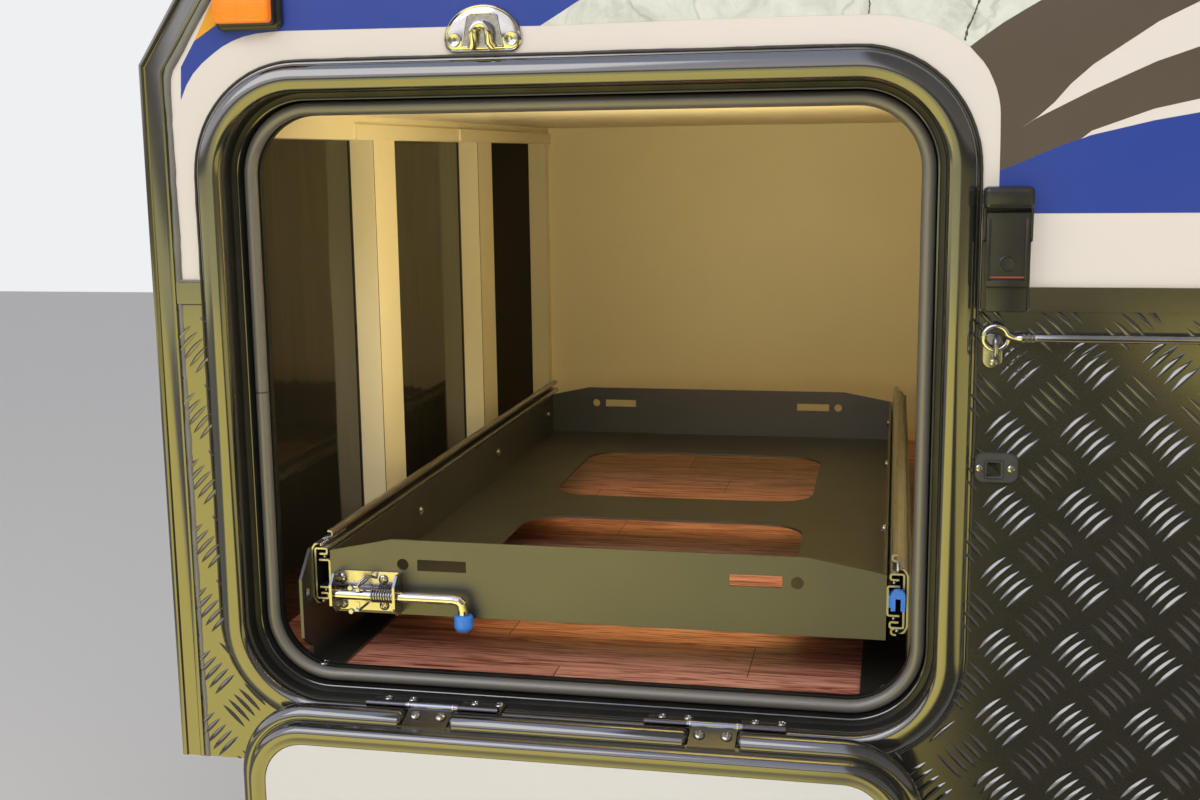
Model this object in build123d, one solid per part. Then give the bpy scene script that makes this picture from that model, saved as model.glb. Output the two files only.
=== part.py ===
"""Side storage locker of a travel trailer: front corner of the body with a drop-down hatch
and a slide-out tray on telescopic ball-bearing slides.

Millimetres. +X runs along the wall away from the trailer's nose, +Y into the body, +Z up.
The origin is on the underside of the floor bearers, below the middle of the hatch and half
way through the section's depth. The hatch hangs open, the tray is pushed in.
"""
import os
from math import cos, radians, sin, tan

from build123d import *

# Section of the body
DEPTH = 1250.0
FACE = -DEPTH / 2
BACK = DEPTH / 2
LEFT = -390.0
RIGHT = 565.0
TOP = 746.0
WALL = 40.0
KINK = 650.0
NOSE_SLOPE = radians(34)
SKIN = 2.0
COVER_T = 3.0
WAIST = (437.0, 456.5)

# Locker inside the section
FLOOR_TOP = 83.0
FLOOR_THICK = 18.0
CEILING = 612.0
BOARD = 16.0
PARTITION_X = 319.0
BACK_BOARD = 14.0
BEARER = 65.0
BEARER_WALL = 3.0
BEARERS = (("front", -300.0), ("middle", 0.0), ("rear", 300.0), ("end", 525.0))
BOLT_Y = 425.0
BOLT_HOLE = 13.0

# Hatch frame, centred on X = 0
HATCH_W = 682.0
HATCH_H = 610.0
HATCH_Z = 345.0
HATCH_R = 100.0
RECESS = 26.5
FLANGE = 46.0
LEDGE = 33.0
SEAL_R = 6.6
GAP = 5.0

# Hatch door and its hinges
DOOR_W = HATCH_W - 2 * (RECESS + GAP)
DOOR_H = HATCH_H - 2 * (RECESS + GAP)
DOOR_R = HATCH_R - RECESS - GAP
DOOR_RIM = 30.6
BEAD = 10.0
HINGE_Y = FACE - 21.0
HINGE_Z = HATCH_Z - HATCH_H / 2 + RECESS + 6.5
HINGE_X = (-129.0, 129.0)
HINGE_LONG = 125.0
KNUCKLE_R = 3.6
PIN_R = 1.6
LEAF = 2.0

# Tray and slides
TRAY_X = (-250.0, 273.6)
TRAY_Y = (FACE + 47.0, FACE + 955.0)
TRAY_Z = 136.0
TRAY_SIDE = 60.0
TRAY_END = 73.0
SHEET = 3.0
SLIDE_T = 19.1
SLIDE_LONG = 965.0
SLIDE_Z = 172.5
SLIDE_SHEET = 1.8
FLANGE_CUT = 18.0
BRACKET_TOP = 197.0
BOLT_ROD_R = 5.0
BOLT_Z = 157.5
BOLT_ROD_Y = FACE + 33.0

# Fittings on the outer wall
CATCH_X = (343.0, 381.0)
CATCH_PIN = (FACE - 14.5, 513.0)
CATCH_HOOD = 519.8
HOOK_EYE = (355.0, FACE - 12.0, 416.3)

os.makedirs("parts", exist_ok=True)
made = []


def save(name, shape):
    """Write one piece to its own file."""
    export_step(shape, f"parts/{name}.step")
    made.append(name)


def slab(x, y, z):
    """Box between the low and high value of each pair."""
    size = [b - a for a, b in (x, y, z)]
    middle = [(a + b) / 2 for a, b in (x, y, z)]
    return Pos(*middle) * Box(*size)


def upright(face, y):
    """Sketch face (x, z) thickened from the first to the second value of y."""
    return Pos(0, y[1], 0) * Rot(90, 0, 0) * extrude(face, y[1] - y[0])


def outline(points, y):
    """Plate with straight edges through the (x, z) points."""
    return upright(make_face(Polyline(*points, close=True)), y)


def rounded(width, height, radius, y, x=0.0, z=HATCH_Z):
    """Plate with rounded corners, centred on (x, z)."""
    return upright(Pos(x, z) * RectangleRounded(width, height, radius), y)


def rod(start, end, radius):
    """Round bar between two points."""
    start, end = Vector(*start), Vector(*end)
    return Plane(start, z_dir=end - start) * extrude(Circle(radius), (end - start).length)


def bow(center, radii, start, end, steps):
    """Points along part of an ellipse, angles in degrees from the first axis."""
    turns = [radians(start + (end - start) * k / steps) for k in range(steps + 1)]
    return [(center[0] + radii[0] * cos(a), center[1] + radii[1] * sin(a)) for a in turns]


def bent_bar(points, radius, bend, sides):
    """Bar of a many-sided section along a line, each corner bent in three short runs."""
    corners = [Vector(*p) for p in points]
    line = [corners[0]]
    for before, corner, after in zip(corners, corners[1:], corners[2:]):
        arrive, leave = (before - corner).normalized(), (after - corner).normalized()
        for share, other in ((1.0, 0.0), (0.42, 0.12), (0.12, 0.42), (0.0, 1.0)):
            line.append(corner + arrive * (bend * share) + leave * (bend * other))
    path = Polyline(*line, corners[-1])
    section = Plane(path @ 0, z_dir=path % 0) * RegularPolygon(radius, sides)
    return sweep(section, path=path, transition=Transition.RIGHT)


def rolled(points, bend):
    """Section of bent sheet on the left of a line, each bend in two short flats."""
    corners = [Vector(*p) for p in points]
    line = [corners[0]]
    for before, corner, after in zip(corners, corners[1:], corners[2:]):
        arrive, leave = (before - corner).normalized(), (after - corner).normalized()
        line += [corner + arrive * bend, corner + (arrive + leave) * (bend * 0.29),
                 corner + leave * bend]
    line.append(corners[-1])
    runs = [(b - a).normalized() for a, b in zip(line, line[1:])]
    lefts = [Vector(-run.Y, run.X) for run in runs]
    back = []
    for point, a, b in zip(line, lefts[:1] + lefts, lefts + lefts[-1:]):
        middle = (a + b).normalized()
        back.append(point + middle * (SLIDE_SHEET / middle.dot(a)))
    return make_face(Polyline(*line, *back[::-1], close=True))


def ring(width, height, radius, section):
    """Section swept round the hatch. Its first axis points inwards, its second out."""
    path = Pos(0, FACE, HATCH_Z) * Rot(90, 0, 0) * RectangleRounded(width, height, radius).wire()
    start, along = path @ 0, path % 0
    inwards = Vector(0, -1, 0).cross(along)
    if inwards.dot(Vector(0, FACE, HATCH_Z) - start) < 0:
        along, inwards = -along, -inwards
    place = Plane(start, x_dir=inwards, z_dir=inwards.cross(Vector(0, -1, 0)))
    return sweep(place * section, path=path)


def corner_line(inset):
    """Line of the front corner, with its kink, a distance in from the outermost face."""
    kink = KINK - inset * tan(NOSE_SLOPE / 2)
    return [(LEFT + inset, 0), (LEFT + inset, kink),
            (LEFT + inset + (TOP - kink) * tan(NOSE_SLOPE), TOP)]


def band(inset, width, y):
    """Strip that follows the front corner."""
    return outline(corner_line(inset) + corner_line(inset + width)[::-1], y)


def opened(shape):
    """Turn a piece of the closed door half a turn about the hinge pins."""
    return Pos(0, HINGE_Y, HINGE_Z) * Rot(180, 0, 0) * Pos(0, -HINGE_Y, -HINGE_Z) * shape


def body_shell():
    """Wall panels, floor, boards and bearers of the section."""
    cover = 25.0
    wall = outline(corner_line(COVER_T) + [(RIGHT, TOP), (RIGHT, 0)], (FACE, FACE + WALL))
    wall -= rounded(HATCH_W - 2 * cover, HATCH_H - 2 * cover, HATCH_R - cover,
                    (FACE - 1, FACE + WALL + 1))
    save("wall_panel", wall)
    save("front_wall", band(COVER_T, WALL, (FACE + WALL, BACK)))

    inner_left = LEFT + COVER_T + WALL
    save("floor_panel", slab((inner_left, RIGHT), (FACE + WALL, BACK),
                             (FLOOR_TOP - FLOOR_THICK, FLOOR_TOP)))
    save("ceiling_board", slab((inner_left, RIGHT), (FACE + WALL, BACK),
                               (CEILING, CEILING + BOARD)))
    save("back_board", slab((inner_left, RIGHT), (BACK - BACK_BOARD, BACK), (FLOOR_TOP, CEILING)))
    save("partition", slab((PARTITION_X, PARTITION_X + BOARD),
                           (FACE + WALL, BACK - BACK_BOARD), (FLOOR_TOP, CEILING)))

    for name, x in BEARERS:
        half = BEARER / 2
        tube = slab((x - half, x + half), (FACE + WALL, BACK), (0, BEARER))
        tube -= slab((x - half + BEARER_WALL, x + half - BEARER_WALL), (FACE, BACK + 1),
                     (BEARER_WALL, BEARER - BEARER_WALL))
        if name in ("front", "rear"):
            for y in (-BOLT_Y, BOLT_Y):
                tube -= Pos(x, y, 0) * Cylinder(BOLT_HOLE / 2, 3 * BEARER_WALL)
        save(f"bearer_{name}", tube)


def inner_lining():
    """Black panels, posts and header on the inside of the front wall."""
    wall_x = LEFT + COVER_T + WALL
    proud = 31.0
    header = 26.0
    save("front_lining", slab((wall_x, wall_x + SKIN), (FACE + WALL, BACK - BACK_BOARD),
                              (FLOOR_TOP, CEILING - header)))
    # name, distance behind the outer face, width along Y
    posts = (("near", 381.0, 75.0), ("middle", 804.0, 75.0), ("far", 1211.0, 25.0))
    for name, start, width in posts:
        save(f"post_{name}", slab((wall_x + SKIN, wall_x + proud),
                                  (FACE + start, FACE + start + width),
                                  (FLOOR_TOP, CEILING - header)))
    save("header_rail", slab((wall_x, wall_x + proud), (FACE + WALL, BACK - BACK_BOARD),
                             (CEILING - header, CEILING)))


def cladding():
    """Tread plate, corner moulding and waist trims on the outside."""
    moulding = 24.0
    flange = 27.0
    sheet = slab((LEFT + moulding + 0.5, RIGHT), (FACE - SKIN, FACE), (0, WAIST[0]))
    sheet -= rounded(HATCH_W + 1, HATCH_H + 1, HATCH_R + 0.5, (FACE - 2 * SKIN, FACE + SKIN))
    save("tread_plate", sheet)
    save("front_tread_plate", slab((LEFT + COVER_T - SKIN, LEFT + COVER_T),
                                   (FACE + flange + 1, BACK), (0, WAIST[0])))
    flat = (FACE - 2.4, FACE)
    corner = band(0, moulding, flat) + band(0, COVER_T, (flat[0], FACE + flange))
    # inset, width, height of the raised lines
    for inset, width, height in ((0.0, 7.0, 3.3), (1.3, 4.4, 4.3), (18.6, 5.4, 3.6)):
        corner += band(inset, width, (FACE - height, FACE - 2))
    save("corner_moulding", corner)
    trim_y = (FACE - 4, FACE)
    save("waist_trim_front", slab((LEFT + moulding + 0.5, -HATCH_W / 2 - 0.5), trim_y, WAIST))
    save("waist_trim_rear", slab((CATCH_X[1] + 0.5, RIGHT), trim_y, WAIST))


def hatch_frame():
    """Rolled frame round the opening, and the bulb seal on its ledge."""
    # distance in from the lip, height out of the wall face
    roll = bow((14.8, 3.0), (11.7, 10.0), 170, 5, 5)
    section = Polyline((0.0, 0.0), (0.0, 3.0), *roll, (RECESS, -15.0), (33.0, -15.0),
                       (33.0, -LEDGE), (FLANGE, -LEDGE), (FLANGE, -WALL), (FLANGE - 2, -WALL),
                       (FLANGE - 2, -LEDGE - 2), (31.0, -LEDGE - 2), (31.0, -17.0),
                       (25.0, -17.0), (25.0, 0.0), close=True)
    save("hatch_frame", ring(HATCH_W, HATCH_H, HATCH_R, make_face(section)))
    bulb = Pos(40, -LEDGE + SEAL_R + 0.1) * RegularPolygon(SEAL_R, 7)
    save("door_seal", ring(HATCH_W, HATCH_H, HATCH_R, bulb))


def hatch_door():
    """Door with its rolled bead and inner roll, white inner sheet, tread plate and trim."""
    # distance in from the door's edge, height out of the wall face
    bead = bow((BEAD, 6.0), (BEAD, 11.0), 90, 270, 6)
    inner_roll = bow((23.0, -14.0), (7.6, 5.0), 190, 300, 3)
    section = Polyline(*bead, (11.0, -3.4), (12.2, -7.0), *inner_roll, (DOOR_RIM, -16.5),
                       (DOOR_RIM, 10.0), (14.0, 10.0), close=True)
    frame = ring(DOOR_W, DOOR_H, DOOR_R, make_face(section))
    bottom = HATCH_Z - DOOR_H / 2
    for x in HINGE_X:
        frame -= leaf_wedge(x, HINGE_LONG / 3 + 2, 8.0)
    save("door_frame", opened(frame))

    inset = 2 * (DOOR_RIM + 0.3)
    size = (DOOR_W - inset, DOOR_H - inset, DOOR_R - DOOR_RIM)
    save("door_panel", opened(rounded(*size, (FACE - 8, FACE + 16))))
    skin = rounded(*size, (FACE - 10, FACE - 8))
    low, high = bottom, bottom + DOOR_H
    below = slab((-DOOR_W, DOOR_W), (FACE - 20, FACE), (low, WAIST[0]))
    above = slab((-DOOR_W, DOOR_W), (FACE - 20, FACE), (WAIST[1], high))
    save("door_tread_plate", opened(skin & below))
    save("door_upper_skin", opened(skin & above))
    half = size[0] / 2
    save("door_waist_trim", opened(slab((-half, half), (FACE - 12, FACE - 8), WAIST)))


def leaf_wedge(x, width, thickness):
    """Slanted plate under the closed door's lower bead, its upper face on the leaf's seat."""
    bottom = HATCH_Z - DOOR_H / 2
    near, far = (HINGE_Y, bottom + 3.6), (FACE + 5.6, bottom + 12.4)
    points = [near, far, (far[0], far[1] - thickness), (near[0], near[1] - thickness)]
    side = make_face(Polyline(*[(x - width / 2, y, z) for y, z in points], close=True))
    return extrude(side, width, dir=(1, 0, 0))


def hinges():
    """Two hinges: outer knuckles on the frame, middle knuckle on the door."""
    third = HINGE_LONG / 3
    shelf = HATCH_Z - HATCH_H / 2 + RECESS
    for side, x in zip(("front", "rear"), HINGE_X):
        start = x - HINGE_LONG / 2
        fixed = Part()
        for k in (0, 2):
            span = (start + k * third, start + (k + 1) * third - 0.6)
            fixed += rod((span[0], HINGE_Y, HINGE_Z), (span[1], HINGE_Y, HINGE_Z), KNUCKLE_R)
            fixed += slab(span, (HINGE_Y - 1, FACE + 9), (shelf, shelf + LEAF))
            fixed += slab(span, (HINGE_Y - 1, HINGE_Y + 1.5), (shelf, HINGE_Z - 2))
        span = (start + third, start + 2 * third - 0.6)
        fixed += rod((span[0] - 1, HINGE_Y, HINGE_Z), (span[1] + 1, HINGE_Y, HINGE_Z), PIN_R - 0.1)
        save(f"hinge_frame_leaf_{side}", fixed)
        moving = rod((span[0], HINGE_Y, HINGE_Z), (span[1], HINGE_Y, HINGE_Z), KNUCKLE_R)
        moving += leaf_wedge((span[0] + span[1]) / 2, span[1] - span[0], LEAF)
        moving -= rod((span[0] - 1, HINGE_Y, HINGE_Z), (span[1] + 1, HINGE_Y, HINGE_Z), PIN_R)
        save(f"hinge_door_leaf_{side}", opened(moving))


def mirrored(points):
    """Section points (depth, height) followed by their mirror images below the middle."""
    return points + [(a, -h) for a, h in points[::-1]]


def slides():
    """Telescopic slides: outer member on the bracket, middle member, inner member on the tray."""
    # distance from the bracket, height above the slide's middle
    outer = [(0, 24), (3.4, 29.8), (9.6, 32.0), (13.6, 32.6), (13.6, 36.3), (10.0, 36.3)]
    middle = [(3.2, 25.6), (16.8, 25.6), (16.8, 18.6), (8.4, 18.6)]
    inner = [(SLIDE_T, -14.4), (7.6, -14.4)]
    sides = (("left", TRAY_X[0] - SLIDE_T, 1), ("right", TRAY_X[1] + SLIDE_T, -1))
    # name, half section, bend radius
    members = (("outer", outer, 1.4), ("middle", middle, 2.2), ("inner", inner, 2.4))
    for side, start, sign in sides:
        for member, half, bend in members:
            face = rolled(mirrored(half[::-1]), bend)
            if sign < 0:
                face = mirror(face, Plane.YZ)
            bar = upright(Pos(start, SLIDE_Z) * face, (TRAY_Y[0], TRAY_Y[0] + SLIDE_LONG))
            if member == "outer":
                bar -= flange_ends(start)
            save(f"slide_{member}_{side}", bar)
    save("lock_lever_right", lock_lever())


def flange_ends(x):
    """Room cut off the outer member's flanges at the front, above and below its web."""
    y = (TRAY_Y[0] - 1, TRAY_Y[0] + FLANGE_CUT)
    near, far = 29.6, 40.0
    reach = (x - SLIDE_T, x + SLIDE_T)
    return (slab(reach, y, (SLIDE_Z + near, SLIDE_Z + far))
            + slab(reach, y, (SLIDE_Z - far, SLIDE_Z - near)))


def lock_lever():
    """Arched release lever at the front of the right slide, seated on its inner member."""
    start = TRAY_X[1] + SLIDE_T
    x = start - 9.0
    arch = Rectangle(12.6, 19) - Pos(0, -5) * Rectangle(4.6, 13)
    arch = fillet(arch.vertices().group_by(Axis.Y)[-1], 5)
    lever = upright(Pos(x, SLIDE_Z + 2.5) * arch, (TRAY_Y[0] - 7, TRAY_Y[0] - 1))
    return lever + slab((start - SLIDE_T + SLIDE_SHEET, x - 3), (TRAY_Y[0] - 4, TRAY_Y[0] + 9),
                        (SLIDE_Z - 5, SLIDE_Z + 6))


def slide_brackets():
    """Angle brackets that carry the slides, their feet screwed to the floor."""
    foot_left, foot_right = 31.0, 41.0
    front = FACE + 22
    back = TRAY_Y[0] + SLIDE_LONG
    top = BRACKET_TOP
    left_x = TRAY_X[0] - SLIDE_T
    side = Pos(left_x, 0, 0) * Rot(0, -90, 0) * extrude(
        make_face(Polyline((FLOOR_TOP, front + 20), (FLOOR_TOP + 18, front + 20),
                           (FLOOR_TOP + 32, front), (top - 24, front), (top, front + 24),
                           (top, back), (FLOOR_TOP, back), close=True)), SHEET)
    side += slab((left_x - SHEET, left_x + foot_left), (front + 20, back),
                 (FLOOR_TOP, FLOOR_TOP + SHEET))
    side -= rod((left_x - 10, BOLT_ROD_Y, BOLT_Z), (left_x + 10, BOLT_ROD_Y, BOLT_Z),
                BOLT_ROD_R + 0.8)
    save("slide_bracket_left", side)
    right_x = TRAY_X[1] + SLIDE_T
    start = TRAY_Y[0] - 2
    other = slab((right_x, right_x + SHEET), (start, back), (FLOOR_TOP, top))
    other += slab((right_x - foot_right, right_x + SHEET), (start, back),
                  (FLOOR_TOP, FLOOR_TOP + SHEET))
    save("slide_bracket_right", other)


def tray():
    """Folded sheet tray with two large openings in its floor and slots in its ends."""
    low, high = TRAY_X
    kink_in = 62.0
    end = [(low, TRAY_Z), (low, TRAY_Z + TRAY_SIDE), (low + kink_in, TRAY_Z + TRAY_END),
           (high - kink_in - 8, TRAY_Z + TRAY_END), (high, TRAY_Z + TRAY_SIDE), (high, TRAY_Z)]
    pan = slab(TRAY_X, TRAY_Y, (TRAY_Z, TRAY_Z + SHEET))
    for x in (low, high - SHEET):
        pan += slab((x, x + SHEET), TRAY_Y, (TRAY_Z, TRAY_Z + TRAY_SIDE))
    slot_z = 185.0
    # middle along X, width, height
    cuts = ((-177.0, 11.5, 11.5), (-138.5, 48.0, 11.0), (157.5, 48.0, 11.0), (195.0, 11.5, 11.5))
    for y in (TRAY_Y[0], TRAY_Y[1] - SHEET):
        plate = outline(end, (y, y + SHEET))
        for x, width, height in cuts:
            if width > height:
                plate -= slab((x - width / 2, x + width / 2), (y - 1, y + SHEET + 1),
                              (slot_z - height / 2, slot_z + height / 2))
            else:
                plate -= rod((x, y - 1, slot_z), (x, y + SHEET + 1, slot_z), width / 2)
        pan += plate
    # middle along Y, length along Y
    for y, length in ((FACE + 295.0, 270.0), (FACE + 674.5, 275.0)):
        window = extrude(RectangleRounded(330, length, 48), 3 * SHEET)
        pan -= Pos(14, y, TRAY_Z - SHEET) * window
    save("tray_pan", pan)


def slide_bolt():
    """Bolt that locks the tray to the left bracket, with its bracket on the tray's front."""
    left, right = -243.0, -178.0
    z = (139.0, 177.5)
    y = (FACE + 24, TRAY_Y[0])
    ear_thick, cut = 2.5, 9.0
    bracket = slab((left, right), (y[1] - 2, y[1]), z)
    side = [(y[1], z[0]), (y[0] + cut, z[0]), (y[0], z[0] + cut), (y[0], z[1] - cut),
            (y[0] + cut, z[1]), (y[1], z[1])]
    for x in (left, right - ear_thick):
        ear = extrude(make_face(Polyline(*[(x, a, b) for a, b in side], close=True)), ear_thick,
                      dir=(1, 0, 0))
        bracket += ear - rod((x - 1, BOLT_ROD_Y, BOLT_Z), (x + 4, BOLT_ROD_Y, BOLT_Z),
                             BOLT_ROD_R + 0.6)
    save("bolt_bracket", bracket)
    bend, handle_x = 10.0, -114.0
    points = [(-245, BOLT_ROD_Y, BOLT_Z), (handle_x, BOLT_ROD_Y, BOLT_Z),
              (handle_x, BOLT_ROD_Y, 137)]
    save("bolt_rod", bent_bar(points, BOLT_ROD_R, bend, 20))
    cap = rod((handle_x, BOLT_ROD_Y, 143), (handle_x, BOLT_ROD_Y, 126), 9)
    cap -= rod((handle_x, BOLT_ROD_Y, 144), (handle_x, BOLT_ROD_Y, 137), BOLT_ROD_R + 0.05)
    save("bolt_handle_cap", cap)


def wall_fittings():
    """Marker lamp, pad eye and striker plate on the outer wall."""
    lamp = Pos(-281.2, 697.0)
    save("marker_lamp_base", upright(lamp * RectangleRounded(61.5, 40.6, 9), (FACE - 7, FACE)))
    lens = upright(lamp * RectangleRounded(51.5, 30.6, 6), (FACE - 22, FACE - 7))
    save("marker_lamp_lens", chamfer(lens.edges().group_by(Axis.Y)[0], 4))

    # half-round plate with a fixed loop
    eye_x, eye_foot, half = -70.5, 652.7, 34.5
    dish = Pos(eye_x, eye_foot + 5.3) * Circle(half)
    dish -= Pos(eye_x, eye_foot - half) * Rectangle(2 * half + 2, 2 * half)
    dish = fillet(dish.vertices(), 8)
    eye = upright(dish, (FACE - 4, FACE))
    side, crown = 7.2, eye_foot + 23
    loop = bent_bar([(eye_x - side, FACE - 6, eye_foot + 5), (eye_x - side, FACE - 6, crown),
                     (eye_x + side, FACE - 6, crown), (eye_x + side, FACE - 6, eye_foot + 5)],
                    3.9, 6.5, 8)
    save("pad_eye", eye + loop)

    base = chamfer(Rectangle(35, 25).vertices(), 4)
    rim = chamfer(Rectangle(16, 16).vertices(), 2)
    striker = upright(Pos(360, 307.1) * base, (FACE - 5, FACE - SKIN))
    striker += upright(Pos(358.2, 306) * rim, (FACE - 7, FACE - 5))
    striker -= slab((352.4, 364), (FACE - 8, FACE), (300.2, 311.8))
    save("striker_plate", striker)


def door_catch():
    """Hooded catch with cheeks and a pin, and the lever that swings on the pin."""
    pin_y, pin_z = CATCH_PIN
    cheek, pin_r, boss_r = 1.8, 2.0, 4.5
    low, high = CATCH_X
    body = slab(CATCH_X, (FACE - 5, FACE), (437.6, 537.4))
    hood = slab(CATCH_X, (FACE - 26, FACE - 5), (CATCH_HOOD, 537.4))
    body += chamfer(hood.edges().filter_by(Axis.X).group_by(Axis.Y)[0], 5)
    for x in (low, high - cheek):
        body += slab((x, x + cheek), (pin_y - boss_r, FACE - 5), (pin_z - 20, CATCH_HOOD))
    body += rod((low, pin_y, pin_z), (high, pin_y, pin_z), pin_r)
    save("catch_body", body)
    inside = (low + cheek + 0.5, high - cheek - 0.5)
    foot_z, ridge_z = 437.5, 457.0
    lever = slab(inside, (pin_y - boss_r, pin_y + boss_r), (ridge_z, pin_z))
    lever += slab((inside[0] + 1, inside[1] - 1), (pin_y - 3, pin_y + 3), (foot_z, ridge_z))
    lever += rod((inside[0], pin_y, pin_z), (inside[1], pin_y, pin_z), boss_r)
    lever -= rod((low, pin_y, pin_z), (high, pin_y, pin_z), pin_r + 0.15)
    save("catch_lever", lever)


def cabin_hook():
    """Eye plate with its staple, and the hook whose ring hangs on the staple."""
    x, y, z = HOOK_EYE
    wire, ring_r = 2.0, 9.6
    staple_y, drop, bend = FACE - 19.0, 15.2, 3.6
    plate = upright(Pos(x - 1, z - 11.6) * RectangleRounded(16, 29, 7.5), (FACE - 5, FACE - SKIN))
    leg = rod((x, FACE - 4, z), (x, FACE - 14.8, z), wire)
    rest = bent_bar([(x, FACE - 14.8, z), (x, staple_y, z), (x, staple_y, z - drop),
                     (x, FACE - 4, z - drop)], wire, bend, 8)
    save("hook_eye_plate", plate + leg + rest)

    ring_face = Plane.XZ * Pos(ring_r, 0) * Rot(0, 0, 30) * RegularPolygon(wire, 6)
    hook = Pos(x, y, z) * Rot(90, 0, 0) * revolve(ring_face, Axis.Z)
    # start and end along the rod, radius
    steps = ((9.6, 19.6, 1.9), (19.6, 31.0, 4.0), (31.0, 175.0, 3.2))
    for start, end, radius in steps:
        hook += rod((x + start, y, z), (x + end, y, z), radius)
    save("cabin_hook", hook)


body_shell()
inner_lining()
cladding()
hatch_frame()
hatch_door()
hinges()
slides()
slide_brackets()
tray()
slide_bolt()
wall_fittings()
door_catch()
cabin_hook()
print(len(made), "pieces")
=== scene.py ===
"""Finish and fine forms of a travel trailer's side storage locker, in the CAD frame.

Shapes are written in millimetres, and materials, lights and the camera in metres.
"""
import math
import random

import bmesh
import bpy
from mathutils import Matrix, Vector


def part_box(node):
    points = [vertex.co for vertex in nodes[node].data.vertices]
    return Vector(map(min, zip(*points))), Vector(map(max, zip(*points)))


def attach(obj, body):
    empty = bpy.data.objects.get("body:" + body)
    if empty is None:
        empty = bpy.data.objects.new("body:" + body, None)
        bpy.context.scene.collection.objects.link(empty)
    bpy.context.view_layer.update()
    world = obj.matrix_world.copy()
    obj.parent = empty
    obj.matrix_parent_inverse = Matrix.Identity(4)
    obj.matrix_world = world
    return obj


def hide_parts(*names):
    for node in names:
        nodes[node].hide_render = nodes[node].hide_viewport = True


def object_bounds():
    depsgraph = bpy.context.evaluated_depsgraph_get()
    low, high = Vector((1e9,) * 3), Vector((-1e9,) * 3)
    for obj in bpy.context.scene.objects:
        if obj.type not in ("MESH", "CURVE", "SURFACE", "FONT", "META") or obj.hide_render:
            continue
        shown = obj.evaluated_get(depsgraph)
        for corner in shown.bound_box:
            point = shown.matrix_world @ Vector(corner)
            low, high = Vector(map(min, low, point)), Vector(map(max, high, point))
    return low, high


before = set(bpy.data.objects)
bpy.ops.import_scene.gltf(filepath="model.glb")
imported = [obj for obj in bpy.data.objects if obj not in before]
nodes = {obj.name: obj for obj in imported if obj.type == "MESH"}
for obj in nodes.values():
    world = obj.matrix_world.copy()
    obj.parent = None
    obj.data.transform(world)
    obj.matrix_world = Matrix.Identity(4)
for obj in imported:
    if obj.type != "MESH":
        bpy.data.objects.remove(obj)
cad_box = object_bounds()
random.seed(7)

MM = 0.001


def box(node):
    """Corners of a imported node's box, in millimetres."""
    low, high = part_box(node)
    return Vector(low) / MM, Vector(high) / MM


wall_low, wall_high = box("wall_panel")
hatch_low, hatch_high = box("hatch_frame")
tread_low, tread_high = box("tread_plate")
FACE = wall_low.y
HATCH_W = hatch_high.x - hatch_low.x
HATCH_H = hatch_high.z - hatch_low.z
HATCH_Z = (hatch_high.z + hatch_low.z) / 2
HATCH_R = 100
RECESS = 26.5
DOOR_GAP = 5
DOOR_W = HATCH_W - 2 * (RECESS + DOOR_GAP)
DOOR_H = HATCH_H - 2 * (RECESS + DOOR_GAP)
DOOR_R = HATCH_R - RECESS - DOOR_GAP
DOOR_RIM = 30.6
HINGE_Y = FACE - 21
HINGE_Z = hatch_low.z + RECESS + 6.5
HINGE_X = (-129, 129)
HINGE_LONG = 125
TREAD_Y = tread_low.y
BAR_LONG, BAR_WIDE, BAR_HIGH, BAR_STEP = 31, 4.4, 1.7, 8.1
# middle of one rising group of bars, and half the pattern's pitch, each along X and Z
GROUP_START = (371.4, 271)
GROUP_STEP = (30.2, 31)


# Materials

class Nodes:
    """Node tree of a material or the world, with a short way to add and join nodes."""

    def __init__(self, owner):
        owner.use_nodes = True
        self.tree = owner.node_tree

    def feed(self, socket, value):
        """Links an output to a socket, or sets a plain number, vector or colour."""
        if isinstance(value, bpy.types.NodeSocket):
            self.tree.links.new(value, socket)
        else:
            socket.default_value = (*value, 1) if socket.type == "RGBA" else value

    def add(self, kind, inputs=(), **settings):
        """New node. inputs gives an output or a plain value for each socket it names."""
        node = self.tree.nodes.new(kind)
        for key, value in settings.items():
            setattr(node, key, value)
        for socket, value in dict(inputs).items():
            self.feed(node.inputs[socket], value)
        return node

    def ramp(self, factor, stops):
        """Colour ramp. Each stop is (place, colour)."""
        node = self.add("ShaderNodeValToRGB", {"Fac": factor})
        elements = node.color_ramp.elements
        while len(elements) < len(stops):
            elements.new(0.5)
        for element, (place, value) in zip(elements, stops):
            element.position = place
            element.color = (*value, 1)
        return node.outputs["Color"]

    def span(self, value, low, high, to_low=0.0, to_high=1.0):
        """Maps one range to another, and holds the ends."""
        inputs = {"Value": value, "From Min": low, "From Max": high, "To Min": to_low,
                  "To Max": to_high}
        return self.add("ShaderNodeMapRange", inputs).outputs["Result"]

    def mix(self, factor, a, b, blend="MIX"):
        node = self.add("ShaderNodeMix", {"Factor": factor, "A": a, "B": b}, data_type="RGBA",
                        blend_type=blend)
        return node.outputs["Result"]

    def math(self, operation, *values):
        """One step of arithmetic on outputs or plain numbers."""
        return self.add("ShaderNodeMath", enumerate(values), operation=operation).outputs[0]

    def axes(self, kind="Object"):
        """Texture coordinates as three outputs."""
        coords = self.add("ShaderNodeTexCoord").outputs[kind]
        return tuple(self.add("ShaderNodeSeparateXYZ", {"Vector": coords}).outputs)


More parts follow.
